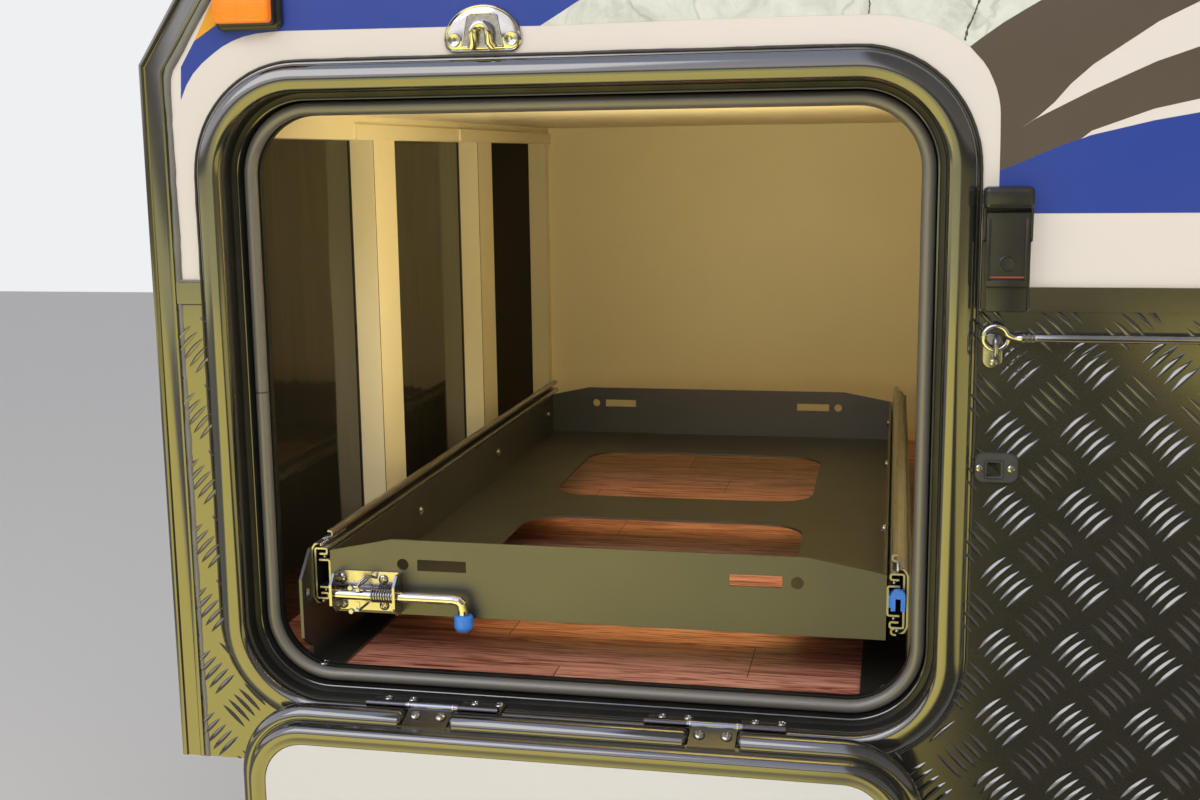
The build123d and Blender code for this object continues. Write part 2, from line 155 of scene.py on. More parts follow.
class Shader(Nodes):
    """Principled material."""

    def __init__(self, name, color, roughness, metallic=0.0):
        self.material = bpy.data.materials.new(name)
        super().__init__(self.material)
        self.surface = self.tree.nodes["Principled BSDF"]
        self.coords = self.add("ShaderNodeTexCoord").outputs["Object"]
        self.color(color)
        self.rough(roughness)
        self.set("Metallic", metallic)

    def set(self, socket, value):
        self.feed(self.surface.inputs[socket], value)

    def color(self, value):
        self.set("Base Color", value)

    def rough(self, value):
        self.set("Roughness", value)

    def stretched(self, scale):
        """Object coordinates scaled."""
        inputs = {"Scale": scale, "Vector": self.coords}
        return self.add("ShaderNodeMapping", inputs).outputs["Vector"]

    def noise(self, scale, detail=4.0, rough=0.5, vector=None, distortion=0.0):
        inputs = {"Scale": scale, "Detail": detail, "Roughness": rough, "Distortion": distortion,
                  "Vector": vector or self.coords}
        return self.add("ShaderNodeTexNoise", inputs).outputs["Fac"]

    def levels(self, factor, low, high):
        """Maps the middle of a noise to a range."""
        return self.span(factor, 0.3, 0.7, low, high)

    def bump(self, height, strength, distance):
        inputs = {"Height": height, "Strength": strength, "Distance": distance}
        self.set("Normal", self.add("ShaderNodeBump", inputs).outputs["Normal"])


def powder_coat(name, color, low, high, peel, ior=1.9):
    """Powder coat with orange peel, even in gloss but for a little dust."""
    s = Shader(name, color, low)
    s.set("IOR", ior)
    s.rough(s.levels(s.noise(7, 2, 0.5), low, high))
    lighter = tuple(min(1, c * 1.2 + 0.002) for c in color)
    s.color(s.ramp(s.noise(90, 4, 0.7), ((0.4, color), (0.8, lighter))))
    s.bump(s.noise(520, 2, 0.4), peel, 0.0002)
    return s.material


def painted(name, color, rough, variation=0.03):
    """Smooth paint with slow changes of tone and a little dust."""
    s = Shader(name, color, rough)
    tone = s.noise(5, 4, 0.6)
    darker = tuple(c * (1 - variation) for c in color)
    dust = s.noise(220, 3, 0.7)
    base = s.ramp(tone, ((0.3, darker), (0.7, color)))
    specks = s.ramp(dust, ((0.68, (1, 1, 1)), (0.8, (0.9, 0.88, 0.84))))
    s.color(s.mix(0.5, base, specks, "MULTIPLY"))
    s.rough(s.levels(s.noise(9, 4), rough * 0.85, rough * 1.2))
    s.bump(s.noise(350, 2), 0.06, 0.0002)
    return s.material


def metal(name, color, rough, brushed, scale=(1, 1, 1)):
    """Plated or polished metal, drawn along one axis where scale says so."""
    s = Shader(name, color, rough, metallic=1.0)
    grain = s.noise(420, 5, 0.65, s.stretched(scale))
    s.rough(s.levels(grain, rough * 0.75, rough * 1.35))
    stain = s.noise(35, 4, 0.6)
    darker = tuple(c * 0.82 for c in color)
    s.color(s.ramp(stain, ((0.3, darker), (0.65, color))))
    s.bump(grain, brushed, 0.0001)
    return s.material


def moulded(name, color, rough, grain=0.25, glow=0.0):
    """Moulded plastic or rubber with a fine grain."""
    s = Shader(name, color, rough)
    lighter = tuple(min(1, c * 1.25 + 0.004) for c in color)
    s.color(s.ramp(s.noise(45, 4, 0.6), ((0.35, color), (0.75, lighter))))
    s.rough(s.levels(s.noise(25, 4), rough * 0.85, rough * 1.25))
    s.bump(s.noise(1600, 3, 0.6), grain, 0.00015)
    if glow:
        s.set("Emission Color", color)
        s.set("Emission Strength", glow)
    return s.material


def timber_vinyl(name):
    """Reddish plank pattern with long grain, planks along X, staggered row by row."""
    row, long, shift = 0.081, 0.432, 0.252
    seam_y, joint_x = -0.469, -0.105
    s = Shader(name, (0.45, 0.18, 0.12), 0.38)
    x, y, _ = s.axes()
    along_y = s.math("DIVIDE", s.math("SUBTRACT", y, seam_y), row)
    number = s.math("FLOOR", along_y)
    moved = s.math("ADD", s.math("SUBTRACT", x, joint_x), s.math("MULTIPLY", number, shift))
    along_x = s.math("DIVIDE", moved, long)
    joint = s.math("MULTIPLY", s.math("FRACT", along_x), long)
    seam = s.math("MULTIPLY", s.math("FRACT", along_y), row)
    gap = s.math("MAXIMUM", s.math("LESS_THAN", joint, 0.0011),
                 s.math("MULTIPLY", s.math("LESS_THAN", seam, 0.0006), 0.45))
    place = s.add("ShaderNodeCombineXYZ", {"X": number, "Y": s.math("FLOOR", along_x)})
    plank = s.add("ShaderNodeTexWhiteNoise", noise_dimensions="2D")
    s.feed(plank.inputs["Vector"], place.outputs["Vector"])
    wavy = s.noise(11, 8, 0.60, s.stretched((0.9, 15, 1)), 1.4)
    fine = s.noise(60, 6, 0.65, s.stretched((0.5, 14, 1)), 0.3)
    wood = s.ramp(wavy, ((0.38, (0.24, 0.065, 0.040)), (0.46, (0.56, 0.215, 0.145)),
                         (0.54, (0.80, 0.360, 0.260)), (0.70, (0.92, 0.480, 0.370))))
    wood = s.mix(0.75, wood, s.ramp(fine, ((0.30, (0.42, 0.36, 0.34)), (0.48, (1, 1, 1)))),
                 "MULTIPLY")
    tone = s.ramp(plank.outputs["Value"], ((0.0, (0.80, 0.74, 0.72)), (1.0, (1.12, 1.12, 1.12))))
    wood = s.mix(1.0, wood, tone, "MULTIPLY")
    s.color(s.mix(gap, wood, (0.055, 0.020, 0.014)))
    s.rough(s.levels(fine, 0.28, 0.40))
    s.bump(fine, 0.10, 0.0003)
    return s.material


def glossy_panel(name):
    """Black laminate, waved a little along its height, with painted shade in the rearmost bay, where
    it is made near black and rough.
    """
    painted_shade_from, painted_shade_to = 0.240, 0.600
    s = Shader(name, (0.014, 0.012, 0.009), 0.07)
    s.set("IOR", 1.48)
    _, y, _ = s.axes()
    # painted shade: between these depths the lining is made near black and rough, for the deep shade
    # in the rearmost bay
    painted_shade_bay = s.math("MULTIPLY", s.math("GREATER_THAN", y, painted_shade_from),
                  s.math("LESS_THAN", y, painted_shade_to))
    s.color(s.mix(painted_shade_bay, (0.016, 0.014, 0.010), (0.002, 0.002, 0.002)))
    s.rough(s.math("ADD", s.math("MULTIPLY", painted_shade_bay, 0.8), 0.07))
    s.bump(s.noise(6, 3, 0.55, s.stretched((1, 1, 0.16)), 0.4), 0.5, 0.004)
    return s.material


def bulb_rubber(name):
    """Seal rubber with the glued joint of its ends as a thin dark line."""
    joint_z = 0.352
    s = Shader(name, (0.13, 0.125, 0.11), 0.36)
    s.set("IOR", 1.85)
    x, _, z = s.axes()
    near = s.math("LESS_THAN", s.math("ABSOLUTE", s.math("SUBTRACT", z, joint_z)), 0.0007)
    near = s.math("MULTIPLY", near, s.math("LESS_THAN", x, -0.2))
    s.color(s.mix(near, (0.130, 0.122, 0.108), (0.004, 0.004, 0.004)))
    s.bump(s.noise(1200, 3, 0.6), 0.06, 0.0001)
    return s.material


def stone_print(name):
    """Printed field that looks like pale worn render, with a few dark cracks."""
    s = Shader(name, (0.62, 0.64, 0.58), 0.3)
    base = s.ramp(s.noise(26, 9, 0.68, None, 0.8),
                  ((0.30, (0.44, 0.46, 0.41)), (0.48, (0.60, 0.62, 0.56)),
                   (0.66, (0.70, 0.71, 0.66))))
    wobble = s.add("ShaderNodeTexNoise", {"Scale": 40, "Vector": s.coords}).outputs["Color"]
    shift = s.add("ShaderNodeVectorMath", {0: wobble, "Scale": 0.035}, operation="SCALE")
    warped = s.add("ShaderNodeVectorMath", {0: s.coords, 1: shift.outputs["Vector"]},
                   operation="ADD")
    veins = s.add("ShaderNodeTexVoronoi", {"Scale": 7.5, "Vector": warped.outputs["Vector"]},
                  feature="DISTANCE_TO_EDGE")
    hair = s.ramp(veins.outputs["Distance"], ((0.0, (0.55, 0.55, 0.5)), (0.02, (1, 1, 1))))
    s.color(s.mix(0.55, base, hair, "MULTIPLY"))
    s.bump(s.noise(350, 2), 0.05, 0.0002)
    return s.material


BLACK = powder_coat("black_powder_coat", (0.016, 0.016, 0.013), 0.10, 0.14, 0.010, 2.35)
SATIN = powder_coat("satin_powder_coat", (0.016, 0.016, 0.013), 0.42, 0.48, 0.10, 2.05)
RECESS_BLACK = moulded("recess_black", (0.008, 0.008, 0.007), 0.42, 0.05)
WHITE = painted("white_gloss", (0.71, 0.66, 0.61), 0.22)
DOOR_WHITE = painted("door_lining_white", (0.64, 0.64, 0.64), 0.35, 0.02)
CREAM = painted("cream_lining", (0.76, 0.66, 0.44), 0.34, 0.04)
LINING = glossy_panel("black_lining")
SEAL = bulb_rubber("seal_rubber")
PLASTIC = moulded("black_plastic", (0.018, 0.018, 0.016), 0.20, 0.06)
SEALANT = moulded("sealant", (0.030, 0.028, 0.027), 0.30, 0.1)
GREY_SEALANT = moulded("grey_sealant", (0.150, 0.145, 0.130), 0.34, 0.1)
AMBER = moulded("amber_lens", (0.90, 0.20, 0.012), 0.12, 0.03, 0.25)
BLUE_PVC = moulded("blue_dip", (0.040, 0.20, 0.66), 0.32, 0.08)
ZINC = metal("zinc_plate", (0.46, 0.46, 0.48), 0.34, 0.12, (1, 0.02, 1))
BRIGHT_ZINC = metal("bright_zinc", (0.50, 0.49, 0.52), 0.22, 0.06)
CHROME = metal("polished_steel", (0.64, 0.63, 0.62), 0.09, 0.02)
SCREW = metal("screw_steel", (0.58, 0.57, 0.55), 0.20, 0.05)
EYE_STEEL = metal("eye_steel", (0.34, 0.35, 0.42), 0.20, 0.04)
GALVANISED = metal("galvanised", (0.60, 0.61, 0.62), 0.40, 0.1)
VINYL_FLOOR = timber_vinyl("timber_vinyl")
FIELD_BLUE = painted("field_blue", (0.026, 0.056, 0.30), 0.22, 0.03)
FIELD_AMBER = painted("field_amber", (0.78, 0.36, 0.02), 0.22, 0.03)
FIELD_CHARCOAL = painted("field_charcoal", (0.098, 0.078, 0.058), 0.24, 0.12)
FIELD_STONE = stone_print("field_stone")
PLATE_GREY = moulded("plate_grey", (0.035, 0.036, 0.038), 0.36, 0.05)
RED_GASKET = moulded("red_gasket", (0.26, 0.055, 0.03), 0.4)


# Building pieces

def piece(name, bm, material, body, sharp=35, closed=True):
    """Turns a bmesh in millimetres into one piece of the scene that rides on a body."""
    if closed:
        bmesh.ops.recalc_face_normals(bm, faces=bm.faces)
    bmesh.ops.scale(bm, vec=(MM, MM, MM), verts=bm.verts)
    mesh = bpy.data.meshes.new(name)
    bm.to_mesh(mesh)
    bm.free()
    mesh.materials.append(material)
    mesh.shade_smooth()
    mesh.set_sharp_from_angle(angle=math.radians(sharp))
    obj = bpy.data.objects.new(name, mesh)
    bpy.context.scene.collection.objects.link(obj)
    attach(obj, body)
    return obj


def skin(bm, loops, ring=False, caps=False, skip=()):
    """Faces between closed loops of points. A loop may be one point.

    ring joins the last loop to the first, caps closes both ends, skip names places left open.
    """
    rows = [[bm.verts.new(p) for p in loop] for loop in loops]
    for a, b in zip(rows, rows[1:] + (rows[:1] if ring else [])):
        size = max(len(a), len(b))
        for k in range(size):
            n = (k + 1) % size
            corners = (a[k % len(a)], a[n % len(a)], b[n % len(b)], b[k % len(b)])
            corners = list(dict.fromkeys(corners))
            if len(corners) > 2 and k not in skip:
                bm.faces.new(corners)
    if caps:
        bm.faces.new(rows[0])
        bm.faces.new(rows[-1][::-1])
    return rows


def arc(center, radius, start, end, steps):
    """Points on an arc, angles in degrees. The radius is a number, or one for each axis."""
    across, up = radius if isinstance(radius, tuple) else (radius, radius)
    turns = (math.radians(start + (end - start) * i / steps) for i in range(steps + 1))
    return [(center[0] + across * math.cos(a), center[1] + up * math.sin(a)) for a in turns]


def rounded_outline(low, high, radius, steps=8, inset=0.0):
    """Rounded rectangle between two corners, inset all round, as (x, z) points."""
    smallest = 0.2
    radius = max(radius - inset, smallest)
    x0, z0, x1, z1 = (edge + side * (inset + radius) for edge, side in
                      ((low[0], 1), (low[-1], 1), (high[0], -1), (high[-1], -1)))
    loop = []
    for x, z, start in ((x1, z1, 0), (x0, z1, 90), (x0, z0, 180), (x1, z0, 270)):
        loop += arc((x, z), radius, start, start + 90, steps)
    return loop


def hatch_loop(inset, steps=18):
    """Outline of the hatch frame, inset all round, as (x, z) points."""
    return rounded_outline(hatch_low, hatch_high, HATCH_R, steps, inset)


def sweep_ring(section):
    """Section points (inset, height out of the wall) carried round the hatch."""
    bm = bmesh.new()
    skin(bm, [[(x, FACE - out, z) for x, z in hatch_loop(inset)] for inset, out in section], True)
    return bm


def opened(v):
    """Half a turn about the hinge pins, from shut to hanging open."""
    return Vector((v.x, 2 * HINGE_Y - v.y, 2 * HINGE_Z - v.z))


def around(center, radius, sides, first=Vector((1, 0, 0)), second=Vector((0, 1, 0))):
    """Points of a circle about a centre, in the plane of two directions."""
    turns = (2 * math.pi * k / sides for k in range(sides))
    return [center + (first * math.cos(a) + second * math.sin(a)) * radius for a in turns]


def tube(bm, path, radius, sides):
    """Round bar along a list of points. The radius is a number or one for each point."""
    radii = radius if isinstance(radius, list) else [radius] * len(path)
    path = [Vector(p) for p in path]
    normal = None
    rings = []
    for i, point in enumerate(path):
        ahead = path[min(i + 1, len(path) - 1)] - path[max(i - 1, 0)]
        ahead.normalize()
        if normal is None:
            normal = ahead.cross(Vector((0, 0, 1) if abs(ahead.z) < 0.9 else (1, 0, 0)))
        normal = (normal - ahead * normal.dot(ahead)).normalized()
        rings.append(around(point, radii[i], sides, normal, ahead.cross(normal)))
    skin(bm, rings, caps=True)


def lathe(bm, profile, place, sides):
    """Turns (radius, height) points about a local Z axis, then moves them with a matrix."""
    skin(bm, [[place @ p for p in around(Vector((0, 0, height)), radius, sides if radius else 1)]
              for radius, height in profile])


def facing(point, outwards, turn=0.0):
    """Matrix that puts local Z along a direction at a point."""
    z = Vector(outwards).normalized()
    x = z.orthogonal().normalized()
    basis = Matrix((x, z.cross(x), z)).transposed() @ Matrix.Rotation(turn, 3, "Z")
    return Matrix.Translation(point) @ basis.to_4x4()


def screw_head(bm, point, outwards, radius, turn=0.4):
    """Domed pan head with a cross recess."""
    place = facing(point, outwards, turn)
    sides, dome_rows = 32, 7
    rings = []
    for a in [0] + [math.pi / 2 * (row + 0.6) / (dome_rows + 0.2) for row in range(dome_rows)]:
        r, top = radius * math.cos(a), radius * 0.55 * math.sin(a) ** 0.8
        ring = []
        for p in around(Vector(), r, sides):
            in_cross = min(abs(p.x), abs(p.y)) < radius * 0.13 and r < radius * 0.62
            ring.append(place @ Vector((p.x, p.y, top * (0.35 if in_cross else 1))))
        rings.append(ring)
    bm.faces.new(skin(bm, rings)[-1])


def screws(name, points, outwards, radius, body, turns=1.5):
    """One piece of several screw heads, each turned at random."""
    bm = bmesh.new()
    for point in points:
        screw_head(bm, point, outwards, radius, random.uniform(0, turns))
    piece(name, bm, SCREW, body)


def stack(bm, loops, ring=False):
    """Skin over (outline, y) rows with equal point counts, its ends closed or joined to a ring."""
    skin(bm, [[(x, y, z) for x, z in loop] for loop, y in loops], ring, not ring)


def plate(bm, outline, y):
    """Flat (x, z) outline between two values of y."""
    stack(bm, [(outline, y[0]), (outline, y[1])])


def block(bm, low, high):
    """Box between two corners."""
    plate(bm, [(low[0], low[2]), (high[0], low[2]), (high[0], high[2]), (low[0], high[2])],
          (low[1], high[1]))


# Wall and its graphics

KINK_Z = 650
NOSE_SLOPE = math.radians(34)
CORNER_X = box("corner_moulding")[0].x


def kink_z(inset):
    """Height at which a line that follows the front corner at an inset bends."""
    return KINK_Z - inset * math.tan(NOSE_SLOPE / 2)


def corner_x(inset, z):
    """Place along X of a line that follows the front corner at an inset."""
    return CORNER_X + inset + max(0, z - kink_z(inset)) * math.tan(NOSE_SLOPE)


def hatch_frame():
    """Rolled band of the frame, its matte recess and ledge, and the bright bead between them."""
    band = [(0.0, 0.0), (0.0, 0.6), (0.4, 1.6), (1.2, 2.5), (2.2, 3.0), (2.9, 3.1)]
    for c, h in arc((0, 0), 1, 170, 8, 18):
        band.append((14.7 + 11.8 * c + 1.5 * h * h, 3.2 + 9.8 * h ** (0.5 if c > 0 else 0.9)))
    band += [(26.5, 2.6), (26.5, -1.0), (25.0, -1.0), (25.0, 0.0)]
    recess = [(26.4, 2.0), (26.4, -13.6), (27.0, -14.7), (28.0, -15.0), (33.0, -15.0),
              (33.0, -31.8), (33.6, -33.0), (45.6, -33.0), (46.0, -33.6), (46.0, -39.6),
              (45.6, -40.0), (44.0, -40.0), (44.0, -35.0), (31.0, -35.0), (31.0, -17.0),
              (25.2, -17.0), (25.2, 2.0)]
    bead = [(31.3, -15.2), (31.3, -14.4), (31.8, -13.9), (32.5, -13.9), (33.1, -14.4),
            (33.1, -15.2)]
    for name, section, look in (("hatch_frame_band", band, BLACK),
                                ("hatch_frame_recess", recess, RECESS_BLACK),
                                ("hatch_frame_bead", bead, BLACK)):
        obj = piece(name, sweep_ring(section), look, "locker", 28)
        if name == "hatch_frame_band":
            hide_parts("hatch_frame")


def hatch_seal():
    """Soft bulb on the ledge, one closed round section swept round the hatch."""
    section = arc((40, -26.4), (6.0, 6.3), 0, 342, 19)
    obj = piece("door_seal_bulb", sweep_ring(section), SEAL, "locker", 60)
    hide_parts("door_seal")


def door_section(section, notches):
    """Section points (inset, height out) carried round the door, left out over the notches."""
    steps = 14
    half_w, half_h = DOOR_W / 2, DOOR_H / 2
    mid_u, mid_out = (sum(values) / len(section) for values in zip(*section))
    easing = ((0.0, 0.30), (0.8, 0.62), (2.2, 0.86), (4.0, 1.0))
    # stations along the lower edge, from left to right: place, share of the section's size
    lower = []
    for low, high in notches:
        lower += [(low - d, share) for d, share in easing[::-1]]
        lower += [(high + d, share) for d, share in easing]

    def loop(u, out):
        points = []
        for x, z, start in ((1, 1, 0), (-1, 1, 90), (-1, -1, 180), (1, -1, 270)):
            if start == 270:
                points += [(px, HATCH_Z - half_h + mid_u + (u - mid_u) * share,
                            mid_out + (out - mid_out) * share) for px, share in lower]
            center = (x * (half_w - DOOR_R), HATCH_Z + z * (half_h - DOOR_R))
            points += [(*p, out) for p in arc(center, DOOR_R - u, start, start + 90, steps)]
        return [opened(Vector((x, FACE - out, z))) for x, z, out in points]

    bm = bmesh.new()
    first = 3 * (steps + 1) + len(easing) - 1
    skipped = [first + 2 * len(easing) * k for k in range(len(notches))]
    rows = skin(bm, [loop(u, out) for u, out in section], True, skip=skipped)
    for j in skipped:
        bm.faces.new([row[j] for row in rows])
        bm.faces.new([row[j + 1] for row in rows][::-1])
    return bm


def hatch_door():
    """Rolled bead of the door, cut round the hinge leaves, and the roll that frames its sheet."""
    leaf_half = 21.5
    bead = arc((10, 6), (9.9, 10.9), 90, 270, 15) + [(10.6, -4.6), (11.0, -4.4), (11.0, 16.6)]
    notches = [(x - leaf_half, x + leaf_half) for x in HINGE_X]
    obj = piece("door_bead", door_section(bead, notches), BLACK, "hatch_door", 30)
    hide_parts("door_frame")
    roll = [(10.4, 9.6), (10.4, -3.2), (11.0, -4.3), (11.6, -4.3), (12.1, -5.4), (12.8, -12.2)]
    roll += arc((20.6, -12.6), (7.2, 6.4), 192, 304, 8)
    roll += [(28.0, -16.6), (30.2, -16.2), (30.6, -15.4), (30.6, 9.6)]
    piece("door_inner_roll", door_section(roll, []), BLACK, "hatch_door", 30)


def wavy_bead(name, path, radius, material):
    """Hand-run line of sealant along a path."""
    bm = bmesh.new()
    radii = []
    size = 1.0
    for _ in path:
        size = max(0.8, min(1.25, size + random.uniform(-0.10, 0.10)))
        radii.append(radius * size)
    tube(bm, path, radii, 10)
    piece(name, bm, material, "locker", 80)


def sealant_beads():
    """Beads round the frame's lip, down the moulding's inner edge and over the front trim."""
    loop = hatch_loop(-0.3, 14)
    path = []
    for x, z in line_points(loop + loop[:1], 12)[:-1]:
        wobble = random.uniform(-0.2, 0.2)
        path.append((x + wobble, FACE - 1.9, z + wobble))
    wavy_bead("frame_sealant", path + path[:1], 1.2, SEALANT)
    steps = 90
    edge = [(corner_x(26.4, wall_high.z * i / steps) + random.uniform(-0.4, 0.4), FACE - 0.4,
             wall_high.z * i / steps) for i in range(steps + 1)]
    wavy_bead("moulding_sealant", edge, 3.2, GREY_SEALANT)
    low, high = box("waist_trim_front")
    line = [(low.x + (high.x - low.x) * i / 10, FACE - 1.6,
             high.z + 0.8 + random.uniform(-0.3, 0.3)) for i in range(11)]
    wavy_bead("trim_sealant", line, 1.5, GREY_SEALANT)
    gap = [(low.x + (high.x - low.x) * i / 4, FACE - 2.3, low.z - 0.5) for i in range(5)]
    wavy_bead("trim_gap", gap, 0.9, SEALANT)


def corner_moulding():
    """Rolled aluminium moulding round the front corner, mitred at its kink."""
    profile = [(3.0, -27.0), (0.0, -27.0), (0.0, 1.2), (0.5, 2.6), (1.8, 3.9), (3.6, 4.3),
               (5.2, 3.7), (6.2, 2.6), (6.8, 2.3), (18.2, 2.3), (18.8, 2.5), (19.6, 3.4),
               (21.2, 3.7), (22.8, 3.2), (24.0, 1.6), (24.0, 0.0), (3.0, 0.0)]
    bm = bmesh.new()
    loops = []
    for height in (lambda inset: 0.0, kink_z, lambda inset: wall_high.z):
        loops.append([(corner_x(inset, height(inset)), FACE - out, height(inset))
                      for inset, out in profile])
    skin(bm, loops, caps=True)
    obj = piece("corner_moulding_rolled", bm, BLACK, "locker", 24)
    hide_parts("corner_moulding")


def lens_bar(bm, center, along, up):
    """One raised bar of the tread pattern, pointed at both ends and bowed a little."""
    along_steps, cross_steps = 8, 4
    side = up.cross(along)
    rows = []
    for i in range(along_steps + 1):
        t = -1 + 2 * i / along_steps
        taper = 1 - t * t
        half, bow = BAR_WIDE / 2 * taper ** 0.85 + 0.05, BAR_WIDE * 0.14 * taper
        rise = BAR_HIGH * (1 - abs(t) ** 3)
        row = []
        for j in range(cross_steps + 1):
            s = -1 + 2 * j / cross_steps
            row.append(bm.verts.new(center + along * (t * BAR_LONG / 2) + side * (s * half + bow)
                                    + up * (rise * (1 - abs(s) ** 1.3) - 0.1)))
        rows.append(row)
    for a, b in zip(rows, rows[1:]):
        for j in range(cross_steps):
            bm.faces.new((a[j], b[j], b[j + 1], a[j + 1]))


def tread_bars(name, low, high, frame_axes, bare, body):
    """Five-bar tread pattern over a rectangle given as (along, up) corners.

    frame_axes are origin, direction along and normal, bare says where a bar's place stays plain.
    """
    origin, across, normal = (Vector(v) for v in frame_axes)
    upwards = normal.cross(across)
    reach = 30
    columns, rows = (range(math.ceil((low[k] - reach - GROUP_START[k]) / GROUP_STEP[k]),
                           math.floor((high[k] + reach - GROUP_START[k]) / GROUP_STEP[k]) + 1)
                     for k in (0, 1))
    half = BAR_LONG * 0.36
    bm = bmesh.new()
    for i in columns:
        for j in rows:
            if i % 2 != j % 2:
                continue
            tilt = math.radians(45 if i % 2 == 0 else -45)
            along = across * math.cos(tilt) + upwards * math.sin(tilt)
            for k in range(-2, 3):
                x = GROUP_START[0] + i * GROUP_STEP[0] - math.sin(tilt) * k * BAR_STEP
                z = GROUP_START[1] + j * GROUP_STEP[1] + math.cos(tilt) * k * BAR_STEP
                center = origin + across * x + upwards * z
                inside = (low[0] - half < x < high[0] + half and low[1] - half < z < high[1] + half)
                if inside and not bare(center):
                    lens_bar(bm, center, along, normal)
    for way, value in ((-across, -low[0]), (across, high[0]), (-upwards, -low[1]),
                       (upwards, high[1])):
        bmesh.ops.bisect_plane(bm, geom=bm.verts[:] + bm.edges[:] + bm.faces[:], dist=1e-3,
                               plane_co=origin + way * value, plane_no=way, clear_outer=True)
    piece(name, bm, BLACK, body, 60, closed=False)


def inside_rounded(p, width, height, radius, middle_z):
    """True where a point lies inside a rounded rectangle about X = 0."""
    x, z = abs(p.x), abs(p.z - middle_z)
    dx, dz = max(0, x - (width / 2 - radius)), max(0, z - (height / 2 - radius))
    return x < width / 2 and z < height / 2 and math.hypot(dx, dz) < radius


def tread_patterns():
    """Raised bars on the side, the front and the door's outer sheet."""
    under, margin = 7, 0.5
    covers = [box(n) for n in ("catch_body", "striker_plate")]

    def side_bare(p):
        in_hatch = inside_rounded(p, HATCH_W - 2 * under, HATCH_H - 2 * under, HATCH_R - under,
                                  HATCH_Z)
        return in_hatch or any(low.x + under < p.x < high.x - under
                               and low.z + under < p.z < high.z - under for low, high in covers)

    tread_bars("side_tread_bars", (tread_low.x, tread_low.z), (tread_high.x, tread_high.z - margin),
               ((0, TREAD_Y, 0), (1, 0, 0), (0, -1, 0)), side_bare, "locker")
    low, high = box("front_tread_plate")
    tread_bars("front_tread_bars", (-high.y, low.z), (-low.y, high.z - margin),
               ((low.x, 0, 0), (0, -1, 0), (-1, 0, 0)), lambda p: False, "locker")
    low, high = box("door_tread_plate")
    inset = DOOR_RIM + 12

    def door_bare(p):
        return not inside_rounded(p, DOOR_W - 2 * inset, DOOR_H - 2 * inset,
                                  DOOR_R - DOOR_RIM * 0.8, 2 * HINGE_Z - HATCH_Z)

    tread_bars("door_tread_bars", (-high.x, low.z), (-low.x, high.z),
               ((0, high.y, 0), (-1, 0, 0), (0, 1, 0)), door_bare, "hatch_door")


def field(name, outline, material, lift):
    """Flat coloured field on the wall, given in millimetres as (x, z)."""
    bm = bmesh.new()
    plate(bm, outline, (FACE - lift, FACE))
    piece(name, bm, material, "locker", 30)


def wall_graphics():
    """Blue, amber, charcoal and stone-look fields above the waist."""
    top = 745.5
    right = 564.5
    border = [(-351.6, 619.1), (-345.6, 631.5), (-338.5, 641.4), (-329.5, 650.0),
              (-318.8, 657.8), (-309.5, 663.8), (-299.7, 668.4), (-288.5, 672.0),
              (-276.8, 674.2), (-263.5, 675.2), (-250.5, 675.7), (-101.7, 674.8)]
    rise = [(-21.2, 673.2), (-3.8, 683.1), (9.1, 690.7), (13.4, 693.0), (60.0, 718.0),
            (116.0, top)]
    amber = [(-335.6, 669.4), (-313.0, 683.2), (-285.0, 700.0), (-292.5, top)]
    field("field_blue_front", border + rise + amber[::-1] + [(-349.7, 647.3)], FIELD_BLUE, 0.2)
    field("field_amber_front", amber + [(-315.9, 704.0)], FIELD_AMBER, 0.2)
    corner = [(211.1, 674.3), (251.5, 674.0), (264.5, 673.2), (275.5, 671.4), (285.5, 669.2),
              (294.6, 666.4), (303.0, 663.2), (310.6, 659.4), (320.2, 653.6), (329.1, 646.9)]
    swoosh = [(339.0, 654.1), (354.2, 664.6), (369.3, 673.5), (382.1, 680.8), (440.0, 710.5),
              (510.0, top)]
    field("field_stone", rise + [(510.0, top)] + swoosh[-2::-1] + corner[::-1]
          + [(113.8, 674.5), (-4.0, 673.2)], FIELD_STONE, 0.2)
    left = [(329.1, 646.9), (339.6, 635.3), (344.3, 628.4), (347.9, 620.8), (350.8, 613.8),
            (352.8, 606.4), (353.9, 600.0), (354.4, 593.7), (354.9, 570.0), (355.0, 549.7)]
    low = [(373.5, 556.7), (388.9, 563.7), (404.2, 569.9), (422.4, 576.0), (470.0, 589.0),
           (right, 607.0)]
    field("field_charcoal", left + low + [(right, top)] + swoosh[::-1], FIELD_CHARCOAL, 0.2)
    field("sliver_wide", [(370.3, 582.6), (380.2, 589.3), (387.8, 593.1), (402.9, 600.7),
                          (423.9, 611.3), (470.0, 632.0), (right, 664.0), (right, 708.0),
                          (470.0, 662.0), (423.1, 630.8), (406.9, 616.3), (395.2, 602.5),
                          (383.2, 591.6)], WHITE, 0.35)
    field("sliver_thin", [(416.3, 573.6), (423.6, 576.4), (470.0, 587.0), (right, 603.0),
                          (right, 616.0), (470.0, 596.0), (424.0, 579.8)], WHITE, 0.35)
    gap, foot = 0.1, 515.4
    field("field_blue_rear", [(left[-1][0], foot), (right, foot)]
          + [(x, z - gap) for x, z in (left[-1:] + low)[::-1]], FIELD_BLUE, 0.2)
    cracks = {"crack_short": ([(249.6, 674.6), (250.6, 682.0), (249.0, 690.0)], 0.9),
              "crack_long": ([(325.1, 651.4), (327.0, 661.2), (331.4, 671.1), (335.6, 682.4),
                              (342.0, 695.0), (347.0, 712.0)], 1.2)}
    for name, (line, half) in cracks.items():
        edge_a, edge_b = [], []
        for x, z in line_points(line, 1.4):
            edge_a.append((x - half * random.uniform(0.25, 1.1), z))
            edge_b.append((x + half * random.uniform(0.25, 1.1), z))
        field(name, edge_a + edge_b[::-1], FIELD_CHARCOAL, 0.3)


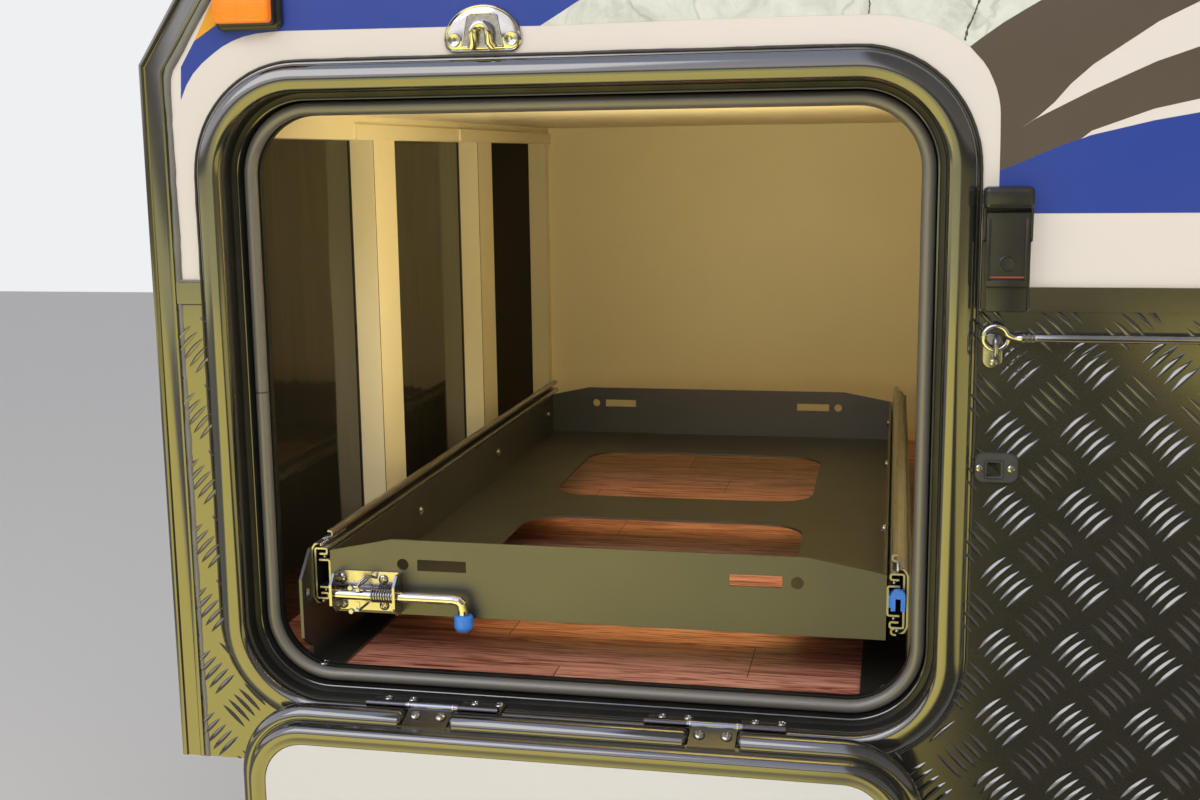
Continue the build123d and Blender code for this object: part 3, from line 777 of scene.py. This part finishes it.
def line_points(line, step):
    """Points along a bent line at about equal steps."""
    points = []
    for a, b in zip(line, line[1:]):
        steps = max(1, int(math.dist(a, b) / step))
        points += [(a[0] + (b[0] - a[0]) * i / steps, a[1] + (b[1] - a[1]) * i / steps)
                   for i in range(steps)]
    return points + [line[-1]]


# Fittings on the wall

def soft_box(bm, low, high, radius, edge):
    """Box whose outline is rounded and whose outer edge is rolled over. Outer face is low y."""
    loops = [(rounded_outline(low, high, radius), high[1])]
    for c, s in arc((0, 0), 1, 0, 90, 5):
        loops.append((rounded_outline(low, high, radius, inset=edge * (1 - c)),
                      low[1] + edge * (1 - s)))
    stack(bm, loops)


def marker_lamp():
    """Black base and ribbed amber lens."""
    low, high = box("marker_lamp_base")
    bm = bmesh.new()
    soft_box(bm, low, high, 7, 3)
    base = piece("marker_lamp_housing", bm, PLASTIC, "locker")
    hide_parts("marker_lamp_base")
    low, high = box("marker_lamp_lens")
    bm = bmesh.new()
    collar = 1.6
    soft_box(bm, (low.x - collar, low.y + 8, low.z - collar),
             (high.x + collar, high.y, high.z + collar), 5, 1.2)
    piece("marker_lamp_collar", bm, PLASTIC, "locker")
    bm = bmesh.new()
    soft_box(bm, low, high, 4, 2.4)
    lens = piece("marker_lamp_glass", bm, AMBER, "locker")
    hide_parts("marker_lamp_lens")
    bm = bmesh.new()
    ribs, sag, margin = 14, 0.5, 3
    for i in range(ribs):
        z = low.z + margin + (high.z - low.z - 2 * margin) * i / (ribs - 1)
        tube(bm, [(low.x + 4 + (high.x - low.x - 8) * t / 8, low.y + 0.2,
                   z + sag * math.sin(math.pi * t / 8)) for t in range(9)], 0.45, 6)
    piece("marker_lamp_ribs", bm, AMBER, "locker")


def pad_eye():
    """Chromed half-round plate with a beaded rim and a fixed loop in a recess."""
    low, high = box("pad_eye")
    cx, cz = (low.x + high.x) / 2, low.z
    half, foot = 34.3, 10
    dome = high.z - low.z - foot

    def dish(inset):
        points = arc((cx - half + foot, cz + foot), foot - inset, 180, 270, 6)
        points += arc((cx + half - foot, cz + foot), foot - inset, 270, 360, 6)
        return points + arc((cx, cz + foot), (half - inset, dome - inset), 4, 176, 26)

    bm = bmesh.new()
    stack(bm, [(dish(inset), FACE - out) for inset, out in
               ((0, 0), (0, 2.4), (0.5, 3.6), (1.4, 4.2), (2.4, 3.7), (2.9, 3.2), (9, 4.4))])
    plate_piece = piece("pad_eye_plate", bm, CHROME, "locker", 50)
    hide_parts("pad_eye")
    bm = bmesh.new()
    keystone = [(cx - 18, cz + 4.5), (cx + 18, cz + 4.5), (cx + 13, cz + 30), (cx + 9, cz + 32),
                (cx - 9, cz + 32), (cx - 13, cz + 30)]
    tube(bm, [(x, FACE - 4.6, z) for x, z in keystone + keystone[:1]], 0.9, 8)
    piece("pad_eye_recess_edge", bm, CHROME, "locker", 60)
    bm = bmesh.new()
    plate(bm, keystone, (FACE - 4.9, FACE - 4.4))
    piece("pad_eye_recess", bm, SCREW, "locker", 20)
    bm = bmesh.new()
    leg, crown = 7.05, 15.8
    arch = [(cx - leg * 1.3, FACE - 5, cz + 4.5), (cx - leg, FACE - 8, cz + 8)]
    arch += [(x, FACE - 9, z) for x, z in arc((cx, cz + crown), leg, 180, 0, 16)]
    arch += [(cx + leg, FACE - 8, cz + 8), (cx + leg * 1.3, FACE - 5, cz + 4.5)]
    tube(bm, arch, 3.9, 18)
    piece("pad_eye_loop", bm, CHROME, "locker", 60)
    bm = bmesh.new()
    for x in (cx - 25.1, cx + 25.1):
        lathe(bm, [(6, 0), (6, 1.2), (5.4, 2.0), (4.4, 1.9), (2.2, 0.9), (0, 0.7)],
              facing((x, FACE - 3.4, cz + 10.5), (0, -1, 0)), 30)
    piece("pad_eye_screws", bm, SCREW, "locker", 40)


def long_block(bm, profile, x, bevel):
    """Outline of (y, z) points carried along X, its end edges bevelled."""
    cy = sum(y for y, _ in profile) / len(profile)
    cz = sum(z for _, z in profile) / len(profile)
    reach = max(math.dist(p, (cy, cz)) for p in profile)
    small = 1 - bevel / reach
    ends = ((x[0], small), (x[0] + bevel, 1.0), (x[1] - bevel, 1.0), (x[1], small))
    skin(bm, [[(place, cy + (y - cy) * share, cz + (z - cz) * share) for y, z in profile]
              for place, share in ends], caps=True)


def catch():
    """Door holder: hooded body with cheeks, swinging face with a dimple and a red line."""
    low, high = box("catch_body")
    hood_z, pin_z, pin_y = 519.8, 513.0, FACE - 14.5
    boss, cheek = 4.5, 1.8
    front = pin_y - boss
    bm = bmesh.new()
    soft_box(bm, (low.x, low.y, hood_z), high, 4, 4)
    soft_box(bm, (low.x, FACE - 5, low.z), (high.x, high.y, hood_z + 2), 2, 1)
    side = [(FACE - 4, pin_z - 20), (FACE - 4, hood_z + 1), (front, hood_z + 1)]
    side += arc((pin_y, pin_z - 15), boss, 180, 270, 5)
    for x in ((low.x, low.x + cheek), (high.x - cheek, high.x)):
        long_block(bm, side, x, 0.3)
    lathe(bm, [(0, 0), (2.6, 0), (2.6, 0.5), (2.0, 0.9), (0, 1.0)],
          facing((high.x - 0.9, pin_y, pin_z), (1, 0, 0)), 20)
    body = piece("catch_housing", bm, PLASTIC, "locker")
    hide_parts("catch_body")
    low, high = box("catch_lever")
    ridge, rail = 457, 3.4
    bm = bmesh.new()
    face = [(pin_y + boss, ridge), (front, ridge), (front, pin_z + 3.6),
            (front + 0.9, pin_z + 4.4)]
    long_block(bm, face + arc((pin_y, pin_z), boss, 75, 0, 5), (low.x, high.x), 0.8)
    edge = [(front + 0.6, ridge + 5), (front - 1.5, ridge + 6), (front - 1.5, pin_z - 6),
            (front + 0.6, pin_z + 2)]
    for x in ((low.x + 0.2, low.x + rail), (high.x - rail, high.x - 0.2)):
        long_block(bm, edge, x, 1.4)
    foot = [(pin_y + 3, low.z + 1), (pin_y + 2, low.z), (pin_y - 2, low.z), (pin_y - 3, low.z + 1),
            (pin_y - 3, ridge + 1), (pin_y + 3, ridge + 1)]
    long_block(bm, foot, (low.x + 1.2, high.x - 1.2), 0.8)
    lip = [(front + 0.6, ridge), (front - 1.4, ridge + 1.6), (front - 1.4, ridge + 6),
           (front + 0.6, ridge + 8)]
    long_block(bm, lip, (low.x + 0.6, high.x - 0.6), 0.5)
    lever = piece("catch_swing_arm", bm, PLASTIC, "catch")
    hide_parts("catch_lever")
    bm = bmesh.new()
    lathe(bm, [(6.4, 0), (6.4, 0.6), (5.8, 1.0), (5.2, 0.3), (0, 0.1)],
          facing(((low.x + high.x) / 2, front, 476.5), (0, -1, 0)), 30)
    piece("catch_dimple", bm, PLASTIC, "catch", 40)
    bm = bmesh.new()
    block(bm, (low.x + 0.8, front - 0.5, 465.2), (high.x - 0.8, front + 0.5, 466.3))
    piece("catch_gasket_line", bm, RED_GASKET, "catch", 20)


def cabin_hook():
    """Hook with its ring, knurled bands, eye plate and staple."""
    low, high = box("cabin_hook")
    ring_r, wire = 9.6, 2.3
    px, py, pz = low.x + ring_r + wire, (low.y + high.y) / 2, (low.z + high.z) / 2
    tip = high.x - px
    bm = bmesh.new()
    path = [(x, py, z) for x, z in arc((px, pz), ring_r, -8, -343.8, 23)]
    path += [(px + 12.6, py, pz + 0.9), (px + 15.5, py, pz + 0.1), (px + 18, py, pz)]
    tube(bm, path, [wire * 0.96] * (len(path) - 1) + [wire * 1.1], 14)
    bands = [(r, start + ahead) for start in (20.2, 24.1, 28.0)
             for r, ahead in ((3.1, 0), (4.0, 0.4), (4.0, 2.2), (3.1, 2.6))]
    profile = [(2.1, 16), (3.0, 18)] + bands + [(3.2, 32), (3.2, tip - 10), (2.6, tip - 3), (0, tip)]
    lathe(bm, profile, facing((px, py, pz), (1, 0, 0)), 22)
    rod_piece = piece("cabin_hook_rod", bm, CHROME, "hook", 40)
    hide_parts("cabin_hook")
    low, high = box("hook_eye_plate")
    bm = bmesh.new()
    soft_box(bm, (low.x, FACE - 5, low.z), (high.x, FACE - 2, high.z), 7.5, 1.2)
    drop, bend, out = 15.2, 4.2, FACE - 19
    staple = [(FACE - 3.5, pz), (out + bend, pz)] + arc((out + bend, pz - bend), bend, 100, 180, 5)
    staple += arc((out + bend, pz - drop + bend), bend, 180, 260, 5)
    staple += [(out + bend, pz - drop), (FACE - 3.5, pz - drop)]
    tube(bm, [(px, y, z) for y, z in staple], 1.95, 14)
    eye = piece("hook_eye_plate_pressed", bm, EYE_STEEL, "locker", 40)
    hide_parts("hook_eye_plate")
    bm = bmesh.new()
    screw_head(bm, ((low.x + high.x) / 2 + 1, FACE - 4.9, low.z + 4.9), (0, -1, 0), 3.2)
    piece("hook_eye_screw", bm, SCREW, "locker")


def striker_plate():
    """Small black plate with a raised square rim round its hole, and two screws."""
    low, high = box("striker_plate")
    cx, cz = 358.2, 306.0
    loops = [(rounded_outline(low, high, 7, 5, inset), FACE - out)
             for inset, out in ((0, 2), (0, 4), (0.9, 5))]
    for half, radius, out in ((8.0, 2.6, 5), (7.4, 2.2, 6.6), (6.8, 1.8, 7.0), (6.1, 1.4, 6.6),
                              (5.8, 1.2, 5.6), (5.8, 1.2, 2)):
        loops.append((rounded_outline((cx - half, cz - half), (cx + half, cz + half), radius, 5),
                      FACE - out))
    bm = bmesh.new()
    stack(bm, loops, True)
    plate_piece = piece("striker_plate_pressed", bm, PLATE_GREY, "locker", 40)
    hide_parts("striker_plate")
    screws("striker_screws", [(x, FACE - 4.9, cz + 0.8) for x in (346.4, 371.8)], (0, -1, 0), 3.3,
           "locker", turns=1)


# Hinges, slides and tray

def lining_details():
    """Two thin boards along the header and the open joints at the edges of the posts."""
    low, high = box("header_rail")
    bm = bmesh.new()
    for start, proud in ((-297, 2.5), (86, 5)):
        block(bm, (high.x - 1, start, low.z), (high.x + proud, high.y, high.z - 9))
    piece("header_boards", bm, CREAM, "locker", 30)
    bm = bmesh.new()
    for name in ("post_near", "post_middle"):
        low, high = box(name)
        block(bm, (high.x - 1, low.y + 1.5, low.z), (high.x + 0.15, low.y + 3.5, high.z))
        block(bm, (low.x, low.y - 0.2, low.z), (low.x + 1.6, low.y + 1, high.z))
    piece("post_joints", bm, SEALANT, "locker", 30)


def hinge_details():
    """Cross-head screws in the leaves of each hinge and thin collars between the knuckles."""
    third = HINGE_LONG / 3
    slope = math.radians(19)
    for side, x in zip(("front", "rear"), HINGE_X):
        start = x - HINGE_LONG / 2
        screws(f"hinge_frame_screws_{side}",
               [(base + third * share, FACE + 2.8, hatch_low.z + RECESS + 2)
                for base in (start, start + 2 * third) for share in (0.30, 0.86)],
               (0, 0, 1), 4.2, "locker")
        leaf_y = box(f"hinge_door_leaf_{side}")[0].y + 13.5
        leaf_z = HINGE_Z + 0.6 - (HINGE_Y - leaf_y) * math.tan(slope)
        screws(f"hinge_door_screws_{side}",
               [(start + third + third * share, leaf_y, leaf_z) for share in (0.215, 0.785)],
               (0, -math.sin(slope), math.cos(slope)), 4.9, "hatch_door")
        bm = bmesh.new()
        for place in (start + third - 0.3, start + 2 * third - 0.3):
            lathe(bm, [(2.0, -1.0), (4.1, -1.0), (4.1, 0.2), (2.0, 0.2)],
                  facing((place, HINGE_Y, HINGE_Z), (1, 0, 0)), 24)
        piece(f"hinge_collars_{side}", bm, BRIGHT_ZINC, "locker", 40)


def slide_details():
    """Ball rows in their races and rivets on the inner members of the telescopic slides."""
    # which race, height from the slide's middle, distance from the bracket, ball radius
    races = (("upper", 27.9, 9.4, 2.25), ("inner", 16.5, 12.6, 1.9))
    for side, sign in (("left", 1), ("right", -1)):
        low, high = box(f"slide_outer_{side}")
        base = low.x if sign > 0 else high.x
        mid_z = (low.z + high.z) / 2
        for name, height, depth, radius in races:
            bm = bmesh.new()
            for row in (-height, height):
                for i in range(9):
                    place = (base + sign * depth, low.y + 3 + i * 7.2, mid_z + row)
                    bmesh.ops.create_uvsphere(bm, u_segments=14, v_segments=9, radius=radius,
                                              matrix=Matrix.Translation(place))
            title = f"slide_balls_{name}_{side}"
            piece(title, bm, BRIGHT_ZINC, f"slide_{side}", 60)
        bm = bmesh.new()
        low, high = box(f"slide_inner_{side}")
        web = high.x - 1.8 if sign > 0 else low.x + 1.8
        for y in (30, 90, 330, 560, 820):
            lathe(bm, [(4, 0), (4, 0.7), (3.2, 1.3), (0, 1.6)],
                  facing((web, low.y + y, mid_z), (-sign, 0, 0)), 20)
        piece(f"slide_rivets_{side}", bm, BRIGHT_ZINC, "tray", 40)


def tray_screws():
    """Pan-head screws with their bosses on the tray's sides, and screws in the bracket feet."""
    low, high = box("tray_pan")
    sheet = 3
    bm = bmesh.new()
    for y in (256, 581, 868):
        for x, way in ((low.x + sheet, 1), (high.x - sheet, -1)):
            place = (low.y + y, low.z + 35.5)
            lathe(bm, [(5.6, 0), (5.6, 1.2), (4.0, 1.7), (0, 1.7)],
                  facing((x, *place), (way, 0, 0)), 26)
            screw_head(bm, (x + way * 1.6, *place), (way, 0, 0), 4.2, random.uniform(0, 1.5))
    piece("tray_side_screws", bm, SCREW, "tray")
    feet = []
    for side, inset in (("left", 16), ("right", -22)):
        low, high = box(f"slide_bracket_{side}")
        edge = low.x if inset > 0 else high.x
        feet += [(edge + inset, low.y + y, low.z + sheet) for y in (14, 330, 620, 900)]
    screws("bracket_foot_screws", feet, (0, 0, 1), 5.2, "locker")


def slide_bolt():
    """Screws, link and pins of the bolt's bracket, the coil on the rod, and the dipped handle."""
    low, high = box("bolt_bracket")
    rod_low, rod_high = box("bolt_rod")
    rod_y, rod_z, front = rod_low.y + 5, rod_high.z - 5, high.y - 2
    screws("bolt_bracket_screws", [(x, front, z) for x in (low.x + 5.6, high.x - 18)
                                   for z in (low.z + 5.4, high.z - 7.5)],
           (0, -1, 0), 4.9, "tray")
    bm = bmesh.new()
    x, y = low.x + 27, rod_y - 7
    for z in (rod_z - 13.5, rod_z + 9.5):
        lathe(bm, [(1.3, 0), (1.3, 1.0), (2.9, 1.1), (2.9, 2.4), (2.2, 3.2), (0, 3.5)],
              facing((x - 5.5, y, z), (0, -1, 0)), 24)
        tube(bm, [(x - 5.5, y, z), (x + 0.5, y, z), (x + 2.4, front, z + 1)], 1.3, 10)
    for below, above in ((-14.5, -5.5), (4.5, 11.5)):
        block(bm, (x - 1.8, y + 2, rod_z + below), (x + 1.4, y + 3.4, rod_z + above))
    tube(bm, [(x, y + 2.7, rod_z + 10), (x + 2.5, y + 4, rod_z + 14), (x + 7, rod_y, rod_z + 17.6),
              (x + 11, rod_y + 3, rod_z + 18), (x + 13, front, rod_z + 14)], 1.3, 10)
    piece("bolt_bracket_pins", bm, BRIGHT_ZINC, "tray", 40)
    bm = bmesh.new()
    coil, turns, start, long = 5.8, 9, high.x - 26, 23
    steps = turns * 16
    helix = arc((rod_y, rod_z), coil, 0, 360 * turns, steps)
    tube(bm, [(start + long * t / steps, *place) for t, place in enumerate(helix)], 0.9, 8)
    piece("bolt_coil", bm, BRIGHT_ZINC, "tray", 60)
    low, high = box("bolt_handle_cap")
    tall, r = high.z - low.z, (high.x - low.x) / 2
    bm = bmesh.new()
    profile = [(5, 0), (r * 0.86, 0), (r * 0.97, 0.8), (r, 2.0)]
    profile += arc((0, tall - r * 0.8), (r, r * 0.8), 0, 90, 8)[:-1] + [(0, tall)]
    lathe(bm, profile, facing(((low.x + high.x) / 2, (low.y + high.y) / 2, high.z), (0, 0, -1)), 30)
    cap = piece("bolt_handle_dip", bm, BLUE_PVC, "bolt", 50)
    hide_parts("bolt_handle_cap")


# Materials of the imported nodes

def hinge_material():
    """Steel at the pin, darker on the outer knuckles, and black on the leaves."""
    s = Shader("hinge_two_tone", (0.03, 0.03, 0.03), 0.2)
    x, y, z = s.axes()
    from_x = s.math("SUBTRACT", s.math("ABSOLUTE", x), HINGE_X[1] * MM)
    middle = s.math("LESS_THAN", s.math("ABSOLUTE", from_x), 24.5 * MM)
    steel = s.mix(middle, (0.10, 0.095, 0.105), (0.26, 0.28, 0.36))
    from_y = s.math("SUBTRACT", y, HINGE_Y * MM)
    from_z = s.math("SUBTRACT", z, HINGE_Z * MM)
    total = s.math("ADD", s.math("MULTIPLY", from_y, from_y), s.math("MULTIPLY", from_z, from_z))
    near = s.math("LESS_THAN", total, (3.9 * MM) ** 2)
    s.color(s.mix(near, (0.016, 0.016, 0.014), steel))
    s.set("Metallic", near)
    s.set("IOR", 1.9)
    grain = s.noise(500, 4, 0.6, s.stretched((0.04, 1, 1)))
    s.rough(s.levels(grain, 0.14, 0.26))
    return s.material


def finish_nodes():
    """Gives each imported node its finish."""
    looks = (
        (WHITE, "wall_panel front_wall door_upper_skin"),
        (DOOR_WHITE, "door_panel"),
        (VINYL_FLOOR, "floor_panel"),
        (CREAM, "ceiling_board back_board partition post_near post_middle post_far header_rail"),
        (LINING, "front_lining"),
        (GALVANISED, "bearer_front bearer_middle bearer_rear bearer_end"),
        (BLACK, "tread_plate front_tread_plate waist_trim_front waist_trim_rear door_tread_plate "
                "door_waist_trim"),
        (ZINC, "slide_outer_left slide_outer_right slide_middle_left slide_middle_right "
               "slide_inner_left slide_inner_right"),
        (SATIN, "slide_bracket_left slide_bracket_right tray_pan"),
        (BRIGHT_ZINC, "bolt_bracket"),
        (CHROME, "bolt_rod"),
        (BLUE_PVC, "lock_lever_right"),
        (hinge_material(), "hinge_frame_leaf_front hinge_frame_leaf_rear hinge_door_leaf_front "
                           "hinge_door_leaf_rear"),
    )
    for look, names in looks:
        for name in names.split():
            for slot in nodes[name].material_slots:
                slot.material = look


# Stage, lights and camera

def light(name, location, target, size, power, color, glossy=True):
    """Soft rectangular light aimed at a point."""
    data = bpy.data.lights.new(name, "AREA")
    data.shape = "RECTANGLE"
    data.size, data.size_y = size
    data.energy = power
    data.color = color
    obj = bpy.data.objects.new(name, data)
    obj.visible_glossy = glossy
    obj.location = location
    direction = Vector(target) - Vector(location)
    obj.rotation_euler = direction.to_track_quat("-Z", "Y").to_euler()
    bpy.context.scene.collection.objects.link(obj)


def surroundings(name):
    """World that is plain and pale, with sky, horizon and lawn in what glossy surfaces show."""
    world = bpy.data.worlds.new(name)
    bpy.context.scene.world = world
    w = Nodes(world)
    x, _, z = w.axes("Generated")
    height = w.ramp(w.span(z, -1, 1),
                    ((0.0, (0.62, 0.56, 0.18)), (0.494, (0.95, 0.88, 0.42)),
                     (0.506, (0.13, 0.12, 0.09)), (0.545, (0.16, 0.14, 0.15)),
                     (0.585, (1.0, 0.96, 0.94)), (0.70, (0.82, 0.80, 0.88)),
                     (1.0, (0.55, 0.62, 0.85))))
    shade = w.ramp(w.span(x, -1, 1), ((0.503, (1, 1, 1)), (0.535, (0.26, 0.24, 0.21))))
    path = w.add("ShaderNodeLightPath").outputs
    color = w.mix(path["Is Glossy Ray"], (0.42, 0.42, 0.43), w.mix(1.0, height, shade, "MULTIPLY"))
    background = w.tree.nodes["Background"].inputs
    w.feed(background["Color"], w.mix(path["Is Camera Ray"], color, (0.86, 0.87, 0.88)))
    w.feed(background["Strength"], w.math("MULTIPLY_ADD", path["Is Glossy Ray"], 0.5, 1.0))


def floor_material(name):
    """Pale floor that glossy surfaces show as lawn before the side wall, shaded to the right."""
    shade = (0.035, 0.030, 0.018)
    s = Shader(name, (0.82, 0.815, 0.80), 0.7)
    x, y, _ = s.axes()
    lawn = s.ramp(s.span(x, -1.0, 2.2),
                  ((0.20, (0.98, 0.82, 0.22)), (0.36, (0.86, 0.72, 0.20)),
                   (0.41, (0.30, 0.25, 0.07)), (0.455, shade), (0.76, shade),
                   (0.88, (0.60, 0.50, 0.14))))
    from_corner = s.math("SUBTRACT", x, s.math("MULTIPLY", y, 0.617))
    in_front = s.math("MULTIPLY", s.span(from_corner, -0.9, -0.5), s.span(y, -0.8, -1.2))
    glow = s.add("ShaderNodeEmission", {"Color": s.mix(in_front, (0.16, 0.155, 0.14), lawn),
                                        "Strength": 2.25})
    glossy = s.add("ShaderNodeLightPath").outputs["Is Glossy Ray"]
    both = s.add("ShaderNodeMixShader", enumerate((glossy, s.surface.outputs["BSDF"],
                                                   glow.outputs["Emission"])))
    s.feed(s.tree.nodes["Material Output"].inputs["Surface"], both.outputs["Shader"])
    return s.material


def stage():
    """Plain pale floor, surroundings, key and fill lights, and the photo's camera."""
    floor_z = cad_box[0][2] - 35 * MM
    bm = bmesh.new()
    side = 9.0
    bm.faces.new([bm.verts.new(p) for p in ((-side, -side, floor_z), (side, -side, floor_z),
                                            (side, side, floor_z), (-side, side, floor_z))])
    mesh = bpy.data.meshes.new("studio_floor")
    bm.to_mesh(mesh)
    bm.free()
    floor = bpy.data.objects.new("studio_floor", mesh)
    mesh.materials.append(floor_material("studio_floor"))
    bpy.context.scene.collection.objects.link(floor)
    surroundings("studio")

    light("key", (-1.8, -3.2, 2.8), (0, -0.5, 0.3), (2.8, 2.2), 40, (1.0, 0.96, 0.90))
    light("sky", (1.0, -2.9, 2.0), (0, -0.5, 0.15), (2.4, 1.2), 52, (1.0, 0.97, 0.93), False)
    light("lawn", (-0.8, -2.8, -0.38), (-0.7, -2.2, 1.0), (3.6, 1.6), 13, (1.0, 0.84, 0.30), False)
    light("locker_front", (0.13, -0.50, 0.57), (0.06, 0.6, 0.44), (0.28, 0.10), 1.5,
          (1.0, 0.85, 0.38), False)
    light("locker_rise", (0.02, -0.40, 0.31), (0.02, 0.20, 1.05), (0.40, 0.20), 1.45,
          (1.0, 0.90, 0.56), False)

    data = bpy.data.cameras.new("camera")
    data.lens = 42.93
    data.sensor_width = 36
    data.clip_start, data.clip_end = 0.02, 60
    camera = bpy.data.objects.new("camera", data)
    right = Vector((0.97951035, 0.20099334, -0.01269422))
    down = Vector((0.02168916, -0.1679441, -0.98555789))
    forward = Vector((-0.2002225, 0.96508883, -0.16886236))
    basis = Matrix((right, -down, -forward)).transposed().to_4x4()
    camera.matrix_world = Matrix.Translation((0.275, -1.825, 0.566)) @ basis
    bpy.context.scene.collection.objects.link(camera)
    bpy.context.scene.camera = camera
    bpy.context.scene.view_settings.view_transform = "Standard"


hatch_frame()
hatch_seal()
hatch_door()
sealant_beads()
corner_moulding()
tread_patterns()
wall_graphics()
marker_lamp()
pad_eye()
catch()
cabin_hook()
striker_plate()
lining_details()
hinge_details()
slide_details()
tray_screws()
slide_bolt()
finish_nodes()
stage()
